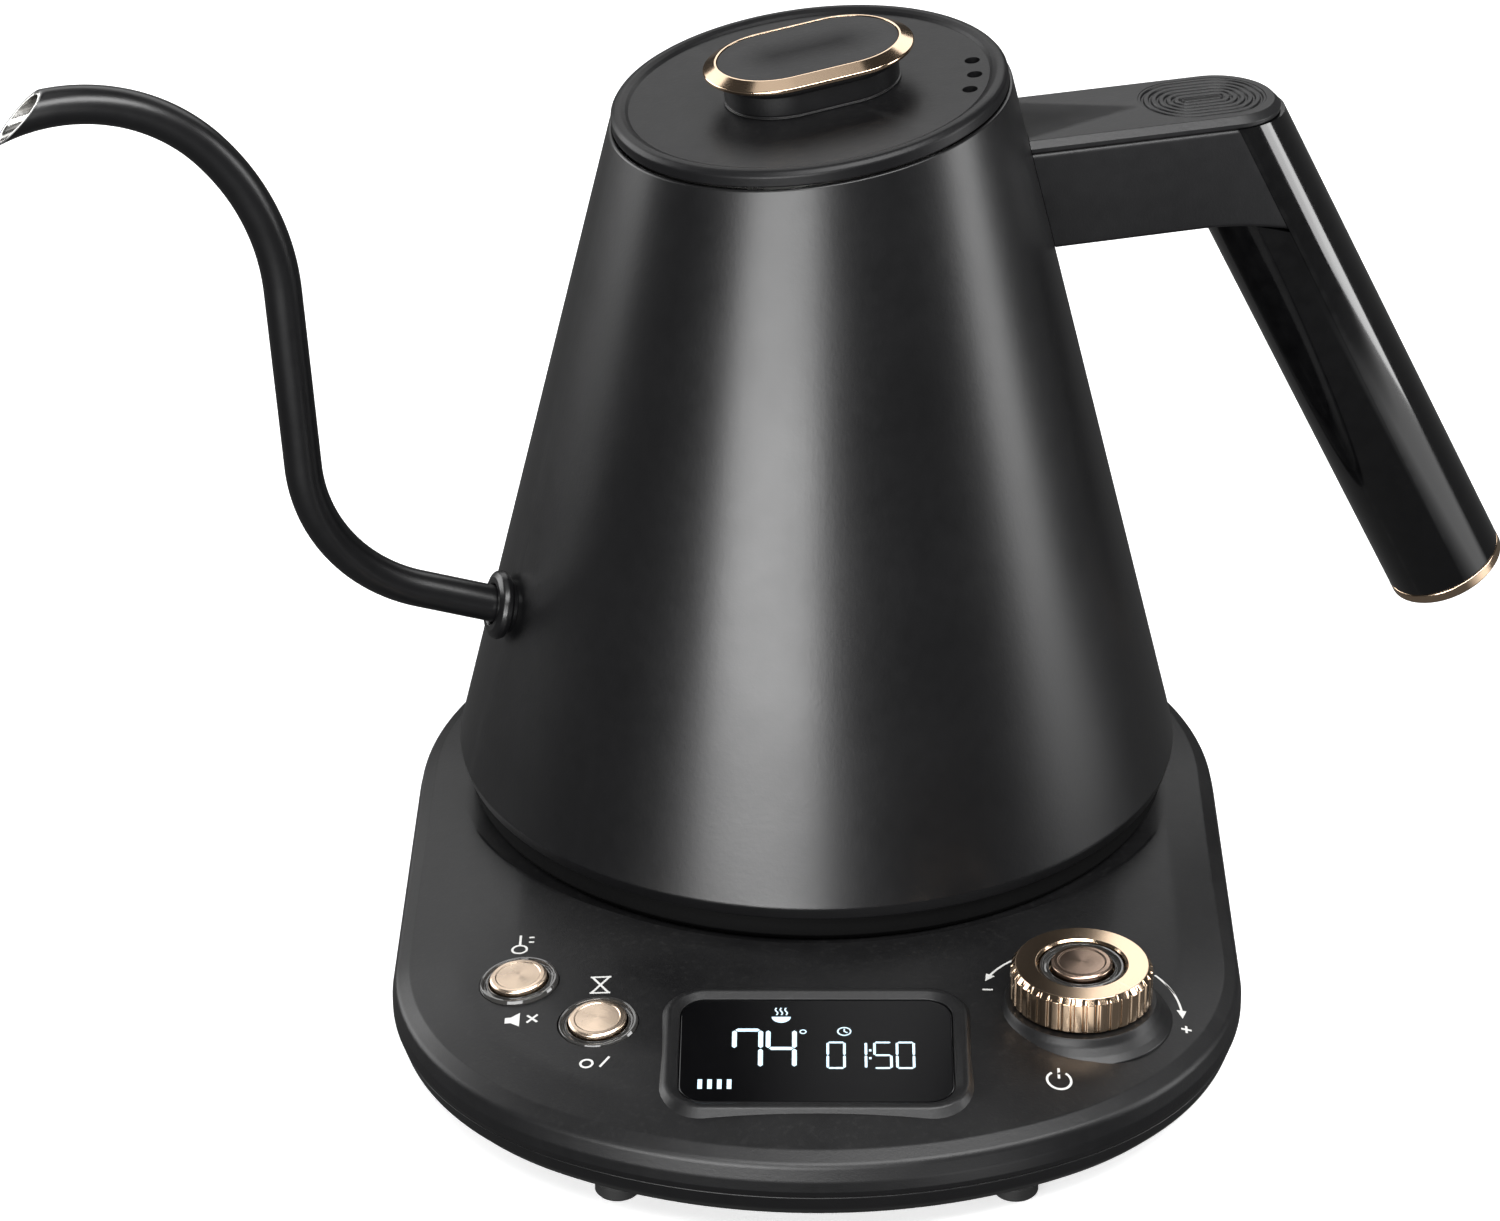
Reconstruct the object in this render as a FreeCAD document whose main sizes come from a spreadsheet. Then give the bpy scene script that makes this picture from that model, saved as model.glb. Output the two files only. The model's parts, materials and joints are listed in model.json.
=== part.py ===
import FreeCAD, Part
import math
import os
import Sketcher

# Gooseneck kettle on a power base. Millimetres, +Z up, the display faces -Y.
# Three working frames are used, and each sub-part is placed from one of them:
#   base    origin on the table, on the axis that the kettle turns about
#   kettle  origin on the kettle's bottom rim, +X along the handle, -X along the spout
#   lid     origin on the lid's rim plane, which slopes down towards the spout

os.makedirs("parts", exist_ok=True)
doc = FreeCAD.newDocument("gooseneck_kettle")
V = FreeCAD.Vector


class Size:
    """A number with the spreadsheet formula that gives it."""

    def __init__(self, value, text):
        self.value = float(value)
        self.text = text

    @staticmethod
    def of(item):
        return item if isinstance(item, Size) else Size(item, repr(float(item)))

    def _with(self, other, sign, result):
        return Size(result, "(%s %s %s)" % (self.text, sign, other.text))

    def __add__(self, other):
        other = Size.of(other)
        return self._with(other, "+", self.value + other.value)

    def __sub__(self, other):
        other = Size.of(other)
        return self._with(other, "-", self.value - other.value)

    def __mul__(self, other):
        other = Size.of(other)
        return self._with(other, "*", self.value * other.value)

    def __truediv__(self, other):
        other = Size.of(other)
        return self._with(other, "/", self.value / other.value)

    def __radd__(self, other):
        return Size.of(other) + self

    def __rsub__(self, other):
        return Size.of(other) - self

    def __rmul__(self, other):
        return Size.of(other) * self

    def __neg__(self):
        return Size.of(0) - self


# ---------------------------------------------------------------- driving dimensions
DIMENSIONS = [
    # where the kettle's axis and the base stand in the part's frame
    ("axis_x", 3.45), ("axis_y", 29.6), ("rim_height", 31.5), ("handle_yaw", 17.0),
    # kettle body: a plain cone with a rounded bottom band
    ("rim_radius", 73.0), ("wall_slope", 0.249), ("wall", 0.9), ("cone_height", 149.0),
    ("band_height", 2.6), ("floor_level", 9.0), ("floor_thick", 0.8),
    # lid plane
    ("lid_height", 141.0), ("lid_offset", 1.65), ("knob_offset", 0.8), ("lid_slant", 7.2), ("lid_gap", 3.6),
    ("lid_radius", 38.5), ("lid_edge", 3.2), ("neck_bore", 34.0), ("plug_radius", 31.6),
    ("plug_depth", 15.0), ("vent_radius", 1.5), ("vent_circle", 32.0),
    ("knob_half_length", 20.65), ("knob_half_width", 14.2), ("knob_level", 6.2),
    ("bevel_in", 2.5), ("bevel_rise", 1.3),
    # spout
    ("tube_radius", 3.65), ("tube_bore", 2.85), ("spout_root_x", 60.0), ("spout_root_z", 35.7),
    ("spout_rise", 21.0), ("elbow_radius", 34.0), ("spout_lean", 3.1), ("crown_start_z", 111.3),
    ("crown_x", 105.5), ("crown_radius", 50.0), ("crown_turn", 48.0), ("tip_radius", 35.0),
    ("tip_droop", 24.0), ("tip_x", 151.8), ("tip_z", 153.0), ("tip_cut", 46.0),
    ("flange_radius", 6.9),
    # handle
    ("arm_top", 128.3), ("arm_bottom", 105.4), ("arm_half_width", 12.2), ("cap_thick", 2.4),
    ("cap_end_x", 83.0), ("grip_radius", 12.25), ("grip_bore", 9.4), ("grip_top_x", 81.3),
    ("grip_tilt", 27.05), ("grip_length", 126.7), ("ring_length", 2.7), ("thumb_x", 79.4),
    # power base
    ("base_half_width", 82.0), ("base_front", 141.3), ("corner_radius", 64.0),
    ("front_radius", 100.0), ("feet_height", 4.5), ("parting_level", 12.0),
    ("ridge_level", 20.5), ("crown_level", 25.0), ("seat_radius", 74.0), ("seat_level", 22.9),
    ("post_radius", 12.6), ("post_top", 34.4),
    ("dial_x", 49.8), ("dial_y", -95.5), ("dial_radius", 13.4), ("dial_low", 26.3),
    ("dial_top", 33.8), ("collar_radius", 17.4),
    ("button_radius", 5.5), ("button_ring", 7.6), ("button_tilt", 7.0),
    ("display_y", -110.3), ("display_wide", 51.0), ("display_deep", 31.4), ("display_tilt", 4.0),
]
sheet = doc.addObject("Spreadsheet::Sheet", "dims")
for row, (alias, number) in enumerate(DIMENSIONS, start=1):
    sheet.set("A%d" % row, alias)
    sheet.set("B%d" % row, repr(number))
    sheet.setAlias("B%d" % row, alias)
doc.recompute()


class Sheet:
    """Every driving dimension as a Size, read back from the spreadsheet."""


d = Sheet()
for alias, _ in DIMENSIONS:
    setattr(d, alias, Size(sheet.get(alias), "dims." + alias))

parts = []


# ---------------------------------------------------------------- frames
def text_of(item):
    return Size.of(item).text


def placement_text(x, y, z, yaw=0, pitch=0, roll=0):
    where = "; ".join(text_of(item) for item in (x, y, z))
    turn = "; ".join(text_of(item) for item in (yaw, pitch, roll))
    return "placement(vector(%s); rotation(%s))" % (where, turn)


def turned(x, y):
    """A point of the kettle frame's plan, turned by the handle's yaw."""
    c = math.cos(math.radians(d.handle_yaw.value))
    s = math.sin(math.radians(d.handle_yaw.value))
    return x * c - y * s, x * s + y * c


def in_base(x=0, y=0, z=0, yaw=0, pitch=0, roll=0):
    return placement_text(d.axis_x + x, d.axis_y + y, z, yaw, pitch, roll)


def in_kettle(x=0, z=0, pitch=0):
    """x runs along the handle and z up from the bottom rim, both in the handle's plane."""
    c = Size(math.cos(math.radians(d.handle_yaw.value)), "cos(dims.handle_yaw * 1 deg)")
    s = Size(math.sin(math.radians(d.handle_yaw.value)), "sin(dims.handle_yaw * 1 deg)")
    x = Size.of(x)
    return placement_text(d.axis_x + x * c, d.axis_y + x * s, d.rim_height + z, d.handle_yaw, pitch)


def on_lid_plane(offset):
    """A frame on the lid's slanted plane, this far from the kettle's axis towards the spout."""
    fall = Size(math.tan(math.radians(d.lid_slant.value)), "tan(dims.lid_slant * 1 deg)")
    return in_kettle(-offset, d.lid_height - offset * fall, -d.lid_slant)


def in_lid():
    return on_lid_plane(d.lid_offset)


def in_knob():
    return on_lid_plane(d.knob_offset)


def keep(item, label, where):
    """Names a finished sub-part and ties its placement to the sheet."""
    item.Label = label
    item.setExpression("Placement", where)
    parts.append(item)
    return item


# ---------------------------------------------------------------- PartDesign helpers
def new_body(label, where):
    return keep(doc.addObject("PartDesign::Body", "Body_" + label), label, where)


def origin_plane(body, role):
    return [item for item in body.Origin.OriginFeatures if item.Role == role][0]


def new_sketch(body, role="XY_Plane", level=0):
    sketch = body.newObject("Sketcher::SketchObject", "sketch_" + body.Label)
    sketch.AttachmentSupport = [(origin_plane(body, role), "")]
    sketch.MapMode = "FlatFace"
    level = Size.of(level)
    sketch.AttachmentOffset = FreeCAD.Placement(V(0, 0, level.value), FreeCAD.Rotation())
    sketch.setExpression("AttachmentOffset.Base.z", level.text)
    return sketch


def pin(sketch, kind, geometry, vertex, size):
    """Dimensions one vertex from the sketch's origin."""
    size = Size.of(size)
    index = sketch.addConstraint(Sketcher.Constraint(kind, -1, 1, geometry, vertex, size.value))
    sketch.setExpression("Constraints[%d]" % index, size.text)


def radius_constraint(sketch, geometry, size):
    size = Size.of(size)
    index = sketch.addConstraint(Sketcher.Constraint("Radius", geometry, size.value))
    sketch.setExpression("Constraints[%d]" % index, size.text)


def coincide(sketch, first, first_end, second, second_end):
    sketch.addConstraint(Sketcher.Constraint("Coincident", first, first_end, second, second_end))


def draw_circle(sketch, radius, x=0, y=0):
    radius = Size.of(radius)
    centre = V(Size.of(x).value, Size.of(y).value, 0)
    index = sketch.addGeometry(Part.Circle(centre, V(0, 0, 1), radius.value), False)
    pin(sketch, "DistanceX", index, 3, x)
    pin(sketch, "DistanceY", index, 3, y)
    radius_constraint(sketch, index, radius)


def draw_polygon(sketch, corners):
    """A closed outline of straight lines, each corner dimensioned from the origin."""
    values = [V(Size.of(x).value, Size.of(y).value, 0) for x, y in corners]
    count = len(corners)
    first = None
    for i in range(count):
        index = sketch.addGeometry(Part.LineSegment(values[i], values[(i + 1) % count]), False)
        first = index if first is None else first
    for i in range(count):
        coincide(sketch, first + i, 2, first + (i + 1) % count, 1)
        pin(sketch, "DistanceX", first + i, 1, corners[i][0])
        pin(sketch, "DistanceY", first + i, 1, corners[i][1])


def draw_stadium(sketch, half_length, radius, x=0):
    """Two half circles joined by lines, long along the sketch's X."""
    half_length, radius, x = Size.of(half_length), Size.of(radius), Size.of(x)
    reach = half_length - radius
    centres = [(x - reach, math.pi / 2, 3 * math.pi / 2), (x + reach, -math.pi / 2, math.pi / 2)]
    arcs = []
    for centre, start, end in centres:
        circle = Part.Circle(V(centre.value, 0, 0), V(0, 0, 1), radius.value)
        arcs.append(sketch.addGeometry(Part.ArcOfCircle(circle, start, end), False))
    low = Part.LineSegment(V(centres[0][0].value, -radius.value, 0), V(centres[1][0].value, -radius.value, 0))
    high = Part.LineSegment(V(centres[1][0].value, radius.value, 0), V(centres[0][0].value, radius.value, 0))
    low_line = sketch.addGeometry(low, False)
    high_line = sketch.addGeometry(high, False)
    coincide(sketch, arcs[0], 2, low_line, 1)
    coincide(sketch, low_line, 2, arcs[1], 1)
    coincide(sketch, arcs[1], 2, high_line, 1)
    coincide(sketch, high_line, 2, arcs[0], 1)
    for arc, (centre, _, _) in zip(arcs, centres):
        pin(sketch, "DistanceX", arc, 3, centre)
    for line_index, side, order in ((low_line, -radius, (0, 1)), (high_line, radius, (1, 0))):
        for vertex, which in zip((1, 2), order):
            pin(sketch, "DistanceX", line_index, vertex, centres[which][0])
            pin(sketch, "DistanceY", line_index, vertex, side)


def volume(body):
    doc.recompute()
    return body.Shape.Volume


def feature(body, kind, sketch, length=None, reverse=False, both_ways=False, through=False):
    """A Pad or Pocket whose length is bound to the sheet."""
    before = volume(body) if kind == "Pocket" else 0.0
    item = body.newObject("PartDesign::" + kind, kind.lower() + "_" + body.Label)
    item.Profile = sketch
    if through:
        item.Type = "ThroughAll"
    else:
        length = Size.of(length)
        item.Length = length.value
        item.setExpression("Length", length.text)
    item.Reversed = reverse
    item.Midplane = both_ways
    sketch.Visibility = False
    if kind == "Pocket" and volume(body) >= before - 0.01:
        raise RuntimeError("pocket cuts nothing: " + body.Label)
    return item


def revolve(body, corners, axis="V_Axis", groove=False):
    """A closed profile in the XZ plane turned right round one of the sketch's axes."""
    before = volume(body) if groove else 0.0
    sketch = new_sketch(body, "XZ_Plane")
    draw_polygon(sketch, corners)
    kind = "Groove" if groove else "Revolution"
    item = body.newObject("PartDesign::" + kind, kind.lower() + "_" + body.Label)
    item.Profile = sketch
    item.ReferenceAxis = (sketch, [axis])
    item.Angle = 360.0
    if groove and volume(body) >= before - 0.01:
        raise RuntimeError("groove cuts nothing: " + body.Label)
    return item


def turned_part(label, where, corners, axis="V_Axis"):
    body = new_body(label, where)
    revolve(body, corners, axis)
    return body


def disc_part(label, where, radius, low, high, holes=()):
    """A flat disc with round holes, each hole a radius, x and y."""
    body = new_body(label, where)
    sketch = new_sketch(body, "XY_Plane", low)
    draw_circle(sketch, radius)
    for hole_radius, x, y in holes:
        draw_circle(sketch, hole_radius, x, y)
    feature(body, "Pad", sketch, Size.of(high) - low)
    return body


def plate_part(label, where, x_low, x_high, y_low, y_high, low, high):
    body = new_body(label, where)
    sketch = new_sketch(body, "XY_Plane", low)
    draw_polygon(sketch, [(x_low, y_low), (x_high, y_low), (x_high, y_high), (x_low, y_high)])
    feature(body, "Pad", sketch, Size.of(high) - low)
    return body


def stadium_part(label, where, half_length, radius, low, high, x=0):
    body = new_body(label, where)
    sketch = new_sketch(body, "XY_Plane", low)
    draw_stadium(sketch, half_length, radius, x)
    feature(body, "Pad", sketch, Size.of(high) - low)
    return body


# ---------------------------------------------------------------- Part helpers
def group_part(label, where, shapes):
    """Separate solids, such as a set of screws, in one node."""
    item = doc.addObject("Part::Feature", "Group_" + label)
    item.Shape = Part.makeCompound(shapes) if len(shapes) > 1 else shapes[0]
    return keep(item, label, where)


def cylinder(radius, height, base, axis=V(0, 0, 1)):
    return Part.makeCylinder(radius, height, base, axis)


def screw(x, y, low, head=2.6, shank=1.4, length=7.0, head_height=1.6, up=1):
    """A pan-head screw, its head at the low end when up is 1."""
    low = Size.of(low).value
    axis = V(0, 0, up)
    body = cylinder(head, head_height, V(x, y, low), axis)
    shaft = cylinder(shank, length, V(x, y, low + up * head_height), axis)
    slot = Part.makeBox(0.5, 2 * head, 0.6, V(x - 0.25, y - head, low - 0.3))
    return body.fuse(shaft).cut(slot).removeSplitter()


# ---------------------------------------------------------------- kettle body
def wall_radius(z, inset=0):
    """Radius of the cone at a level of the kettle frame."""
    return d.rim_radius - d.wall_slope * z - inset


def cone_wedge(clearance):
    """Profile of everything inside the cone, grown by a clearance."""
    return [(0, -4), (wall_radius(-4) + clearance, -4),
            (wall_radius(d.cone_height) + clearance, d.cone_height), (0, d.cone_height)]


def make_shell():
    """The steel cone, its rolled bottom band, the slanted mouth and the spout hole."""
    body = turned_part("kettle_shell", in_kettle(), [
        (d.rim_radius - 2.0, -d.band_height), (d.rim_radius - 0.5, -1.5), (d.rim_radius, 0),
        (wall_radius(d.cone_height), d.cone_height),
        (wall_radius(d.cone_height, d.wall), d.cone_height),
        (wall_radius(1.0, d.wall), 1.0), (d.rim_radius - 1.4, -1.0), (d.rim_radius - 2.6, -1.8),
        (d.rim_radius - 2.6, -d.band_height)])
    slope = math.tan(math.radians(d.lid_slant.value))
    reach = 60
    middle = d.lid_height - d.lid_gap
    mouth = new_sketch(body, "XZ_Plane")
    draw_polygon(mouth, [(-reach, middle - reach * slope), (reach, middle + reach * slope),
                         (reach, 170), (-reach, 170)])
    feature(body, "Pocket", mouth, through=True, both_ways=True)
    hole = new_sketch(body, "YZ_Plane", -d.rim_radius - 2)
    draw_circle(hole, d.tube_radius + 0.25, 0, spout_height_at_wall())
    feature(body, "Pocket", hole, 22, reverse=True)
    return body


def spout_height_at_wall():
    rise = math.tan(math.radians(d.spout_rise.value))
    return d.spout_root_z + (wall_radius(38) - d.spout_root_x) * rise


def make_kettle_bottom():
    """Everything under the water: floor, heater, cutouts, skirt, socket."""
    low = d.floor_level
    disc_part("kettle_floor", in_kettle(), wall_radius(low + d.floor_thick, d.wall + 0.05), low,
              low + d.floor_thick,
              [(2.6, 40, 0)])
    disc_part("heat_plate", in_kettle(), 54, low - 2.6, low, [(4.0, 40, 0)])
    element = doc.addObject("Part::Torus", "Element_tube")
    element.Radius1 = 27
    element.Radius2 = 3.0
    gap = doc.addObject("Part::Box", "Element_gap")
    gap.Length, gap.Width, gap.Height = 14, 40, 10
    gap.Placement = FreeCAD.Placement(V(-7, -47, -5), FreeCAD.Rotation())
    cut = doc.addObject("Part::Cut", "Element_cut")
    cut.Base, cut.Tool = element, gap
    keep(cut, "heating_element", in_kettle(0, low - 5.65))
    group_part("element_terminals", in_kettle(), [
        cylinder(1.6, 10, V(side * 9.92, -28.37, 3.35), V(side * 0.33, -0.944, 0)) for side in (-1, 1)])
    turned_part("temp_probe", in_kettle(40, 0), [
        (0, 1.2), (3.2, 1.2), (3.2, 5.8), (2.0, 5.8), (2.0, 16.0), (1.0, 17.2), (0, 17.2)])
    turned_part("probe_seal", in_kettle(40, 0), [
        (2.05, 6.1), (3.9, 6.1), (3.9, 8.9), (2.5, 8.9), (2.5, 10.6), (2.05, 10.6)])
    group_part("thermal_cutouts", in_kettle(), [
        Part.makeBox(16, 12, 3.2, V(-46 - 8, side * 24 - 6, 3.1)) for side in (-1, 1)])
    skirt_low = -8.1
    skirt = turned_part("kettle_skirt", in_kettle(), [
        (18.6, skirt_low + 0.9), (68.2, skirt_low + 0.9), (69.2, skirt_low), (70.2, skirt_low),
        (d.rim_radius - 2.2, -d.band_height - 0.05), (d.rim_radius - 3.4, -d.band_height - 0.05),
        (68.6, skirt_low + 2.5), (18.6, skirt_low + 2.5)])
    holes = new_sketch(skirt, "XY_Plane", 0)
    for angle in (60, 180, 300):
        draw_circle(holes, 1.7, 58 * math.cos(math.radians(angle)), 58 * math.sin(math.radians(angle)))
    feature(skirt, "Pocket", holes, through=True)
    group_part("skirt_screws", in_kettle(), [
        screw(58 * math.cos(math.radians(a)), 58 * math.sin(math.radians(a)), skirt_low - 0.3,
              length=10.6, head=2.8, head_height=1.2)
        for a in (60, 180, 300)])
    turned_part("kettle_socket", in_base(0, 0, d.rim_height), [
        (d.post_radius + 0.6, -6.9), (18.2, -6.9), (18.2, -4.2), (17.0, -4.2), (17.0, 5.4),
        (0, 5.4), (0, 3.9), (d.post_radius + 0.6, 3.9)])


def make_neck():
    """The ring welded inside the mouth, which the lid's seal closes on."""
    turned_part("neck_ring", in_lid(), [
        (d.neck_bore, -d.lid_gap - 0.1), (37.3, -d.lid_gap - 0.1), (38.2, -10.8),
        (d.neck_bore, -10.8)])


# ---------------------------------------------------------------- lid
def make_lid():
    edge = d.lid_edge
    cover = turned_part("lid_cover", in_lid(), [
        (0, -1.0), (34.9, -1.0), (35.7, -0.35), (36.5, 0), (37.6, -0.3), (38.2, -1.0),
        (d.lid_radius, -1.9), (d.lid_radius, -edge), (36.0, -edge), (34.4, -2.6), (0, -2.6)])
    vents = new_sketch(cover, "XY_Plane", 0)
    for angle in (-8.5, -20.5, -32.5):
        radians = math.radians(angle)
        draw_circle(vents, d.vent_radius, d.vent_circle * math.cos(radians),
                    d.vent_circle * math.sin(radians))
    screw_places = ((-8, 0), (8, 0))
    knob_shift = (d.lid_offset.value - d.knob_offset.value) / math.cos(math.radians(d.lid_slant.value))
    for x, y in screw_places:
        draw_circle(vents, 1.6, x + knob_shift, y)
    feature(cover, "Pocket", vents, through=True)
    plug = turned_part("lid_plug", in_lid(), [
        (0, -d.plug_depth), (d.plug_radius - 2, -d.plug_depth), (d.plug_radius, -d.plug_depth + 2),
        (d.plug_radius, -2.65), (d.plug_radius - 1.0, -2.65),
        (d.plug_radius - 1.0, -d.plug_depth + 2.4), (d.plug_radius - 2.4, -d.plug_depth + 1.0),
        (0, -d.plug_depth + 1.0)])
    steam = new_sketch(plug, "XY_Plane", -d.plug_depth + 2)
    for angle in (-60, -36, -12, 12, 36):
        radians = math.radians(angle)
        draw_circle(steam, 2.0, 22 * math.cos(radians), 22 * math.sin(radians))
    feature(plug, "Pocket", steam, 4)
    turned_part("lid_gasket", in_lid(), [
        (d.plug_radius, -9.0), (d.plug_radius + 1.2, -9.0), (d.neck_bore - 0.35, -7.8),
        (d.neck_bore - 0.35, -7.2), (d.plug_radius + 1.2, -6.0), (d.plug_radius, -6.0)])
    ring_low = d.knob_level - 1.0
    stem = stadium_part("knob_stem", in_knob(), d.knob_half_length - 3.4, d.knob_half_width - 2.4,
                        -1.0, ring_low - 0.9)
    flange = new_sketch(stem, "XY_Plane", ring_low - 0.9)
    draw_stadium(flange, d.knob_half_length - 1.2, d.knob_half_width - 1.2)
    feature(stem, "Pad", flange, 0.9)
    bores = new_sketch(stem, "XY_Plane", -1.0)
    for x, y in screw_places:
        draw_circle(bores, 1.3, x, y)
    feature(stem, "Pocket", bores, 5, reverse=True)
    top = ring_low + 1.0 + d.bevel_rise
    half_length, half_width = d.knob_half_length, d.knob_half_width
    ring = stadium_stack([
        (half_length - 0.6, half_width - 0.6, ring_low), (half_length, half_width, ring_low + 0.4),
        (half_length, half_width, d.knob_level),
        (half_length - d.bevel_in, half_width - d.bevel_in, top)])
    window = d.bevel_in + 0.3
    ring = ring.cut(stadium_stack([(half_length - window, half_width - window, ring_low - 1),
                                   (half_length - window, half_width - window, top + 1)]))
    group_part("knob_ring", in_knob(), [ring])
    stadium_part("knob_insert", in_knob(), d.knob_half_length - d.bevel_in - 0.35,
                 d.knob_half_width - d.bevel_in - 0.35, ring_low, top + 0.1)
    group_part("lid_screws", in_knob(), [
        screw(x, y, -4.3, head=2.6, shank=1.25, length=5.5) for x, y in screw_places])


def stadium_wire(half_length, radius, level, x=0):
    """Plan outline of two half circles joined by lines."""
    half_length, radius = Size.of(half_length).value, Size.of(radius).value
    level, x = Size.of(level).value, Size.of(x).value
    reach = half_length - radius
    left, right = x - reach, x + reach
    return Part.Wire([
        Part.Arc(V(left, radius, level), V(left - radius, 0, level), V(left, -radius, level)).toShape(),
        Part.LineSegment(V(left, -radius, level), V(right, -radius, level)).toShape(),
        Part.Arc(V(right, -radius, level), V(right + radius, 0, level), V(right, radius, level)).toShape(),
        Part.LineSegment(V(right, radius, level), V(left, radius, level)).toShape()])


def stadium_stack(levels, x=0):
    """A solid through stadium outlines, each a half length, a half width and a level."""
    solids = []
    for low, high in zip(levels, levels[1:]):
        solids.append(Part.makeLoft([stadium_wire(*low, x), stadium_wire(*high, x)], True, True))
    whole = solids[0]
    for item in solids[1:]:
        whole = whole.fuse(item)
    return whole.removeSplitter()


# ---------------------------------------------------------------- spout
def spout_path():
    """Line, elbow, upright and crown as one smooth wire in the handle's plane."""
    rise = math.radians(d.spout_rise.value)
    lean = math.radians(90.0 - d.spout_lean.value)
    root = (d.spout_root_x.value, d.spout_root_z.value)
    upright_x = d.crown_x.value
    upright_z = d.crown_start_z.value
    along = ((upright_x - root[0]) * math.sin(lean) - (upright_z - root[1]) * math.cos(lean)) \
        / math.sin(lean - rise)
    corner = (root[0] + along * math.cos(rise), root[1] + along * math.sin(rise))
    tangent = d.elbow_radius.value * math.tan((lean - rise) / 2)
    elbow_in = (corner[0] - tangent * math.cos(rise), corner[1] - tangent * math.sin(rise))
    elbow_out = (corner[0] + tangent * math.cos(lean), corner[1] + tangent * math.sin(lean))
    edges = [line(root, elbow_in), bend(elbow_in, rise, lean, d.elbow_radius.value),
             line(elbow_out, (upright_x, upright_z))]
    crown_turn = math.radians(d.crown_turn.value)
    edges.append(bend((upright_x, upright_z), lean, crown_turn, d.crown_radius.value))
    crown_end = bend_end((upright_x, upright_z), lean, crown_turn, d.crown_radius.value)
    droop = -math.radians(d.tip_droop.value)
    edges.append(bend(crown_end, crown_turn, droop, d.tip_radius.value))
    return edges, root, rise


def plane_point(point):
    """The spout runs along -X of the kettle frame."""
    return V(-point[0], 0, point[1])


def line(start, end):
    return Part.LineSegment(plane_point(start), plane_point(end)).toShape()


def bend_end(start, heading, new_heading, radius):
    """End of an arc that turns a heading into another."""
    side = 1 if new_heading > heading else -1
    return (start[0] + side * radius * (math.sin(new_heading) - math.sin(heading)),
            start[1] - side * radius * (math.cos(new_heading) - math.cos(heading)))


def bend(start, heading, new_heading, radius):
    middle = bend_end(start, heading, (heading + new_heading) / 2, radius)
    end = bend_end(start, heading, new_heading, radius)
    return Part.Arc(plane_point(start), plane_point(middle), plane_point(end)).toShape()


def make_spout():
    edges, root, rise = spout_path()
    path = Part.Wire(edges)
    tubes = []
    for radius in (d.tube_radius.value, d.tube_bore.value):
        ring = Part.Circle(plane_point(root), V(-math.cos(rise), 0, math.sin(rise)), radius)
        tubes.append(path.makePipeShell([Part.Wire(ring.toShape())], True, True))
    tube = tubes[0].cut(tubes[1])
    # the mouth is cut off on the slant, so that the lower lip reaches furthest
    size = 40.0
    cutter = Part.makeBox(size, size, size, V(-size / 2, -size / 2, 0))
    cutter.Placement = FreeCAD.Placement(plane_point((d.tip_x.value, d.tip_z.value)),
                                         FreeCAD.Rotation(V(0, 1, 0), -d.tip_cut.value))
    tube = tube.cut(cutter)
    # the root is trimmed where it meets the inside of the wall
    inside = Part.makeCone(wall_radius(0, d.wall).value, wall_radius(d.cone_height, d.wall).value,
                           d.cone_height.value)
    tube = tube.cut(inside)
    item = doc.addObject("Part::Feature", "Spout_tube")
    item.Shape = tube.Solids[0]
    keep(item, "spout_tube", in_kettle())
    print("spout path length", round(path.Length, 1), "tube volume", round(tube.Volume, 1))
    wall_angle = math.degrees(math.atan(d.wall_slope.value))
    flange_low, flange_high = 0.9, 3.7
    radius = d.flange_radius
    bore = d.tube_radius + 0.35
    turned_part("spout_flange", in_kettle(-wall_radius(37.4), 37.4, Size(wall_angle, repr(wall_angle))), [
        (-0.05, bore), (-0.05, radius - 1.6), (-flange_low, radius - 1.2), (-flange_low - 0.4, radius - 0.3),
        (-flange_low - 1.4, radius), (-flange_high + 0.6, radius - 0.3), (-flange_high, radius - 1.3),
        (-flange_high, bore)], axis="H_Axis")


# ---------------------------------------------------------------- handle
def grip_point(along, off=0.0):
    """A point by its distance down the grip's axis and square to it, outwards positive."""
    tilt = math.radians(d.grip_tilt.value)
    x = d.grip_top_x + along * math.sin(tilt) + off * math.cos(tilt)
    z = d.arm_top - along * math.cos(tilt) + off * math.sin(tilt)
    return x, z


def slanted_part(label, profile):
    """A profile given as distance along and off the grip's axis, turned about that axis."""
    body = new_body(label, in_kettle())
    sketch = new_sketch(body, "XZ_Plane")
    draw_polygon(sketch, [grip_point(along, off) for along, off in profile])
    top, low = grip_point(-20), grip_point(180)
    ends = [V(Size.of(x).value, Size.of(z).value, 0) for x, z in (top, low)]
    axis = sketch.addGeometry(Part.LineSegment(ends[0], ends[1]), True)
    for vertex, (x, z) in ((1, top), (2, low)):
        pin(sketch, "DistanceX", axis, vertex, x)
        pin(sketch, "DistanceY", axis, vertex, z)
    item = body.newObject("PartDesign::Revolution", "turn_" + label)
    item.Profile = sketch
    item.ReferenceAxis = (sketch, ["Axis0"])
    item.Angle = 360.0
    doc.recompute()
    return body


def cut_level(body, corners):
    """Cuts a polygon of the handle's plane right through."""
    sketch = new_sketch(body, "XZ_Plane")
    draw_polygon(sketch, corners)
    feature(body, "Pocket", sketch, through=True, both_ways=True)


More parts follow.
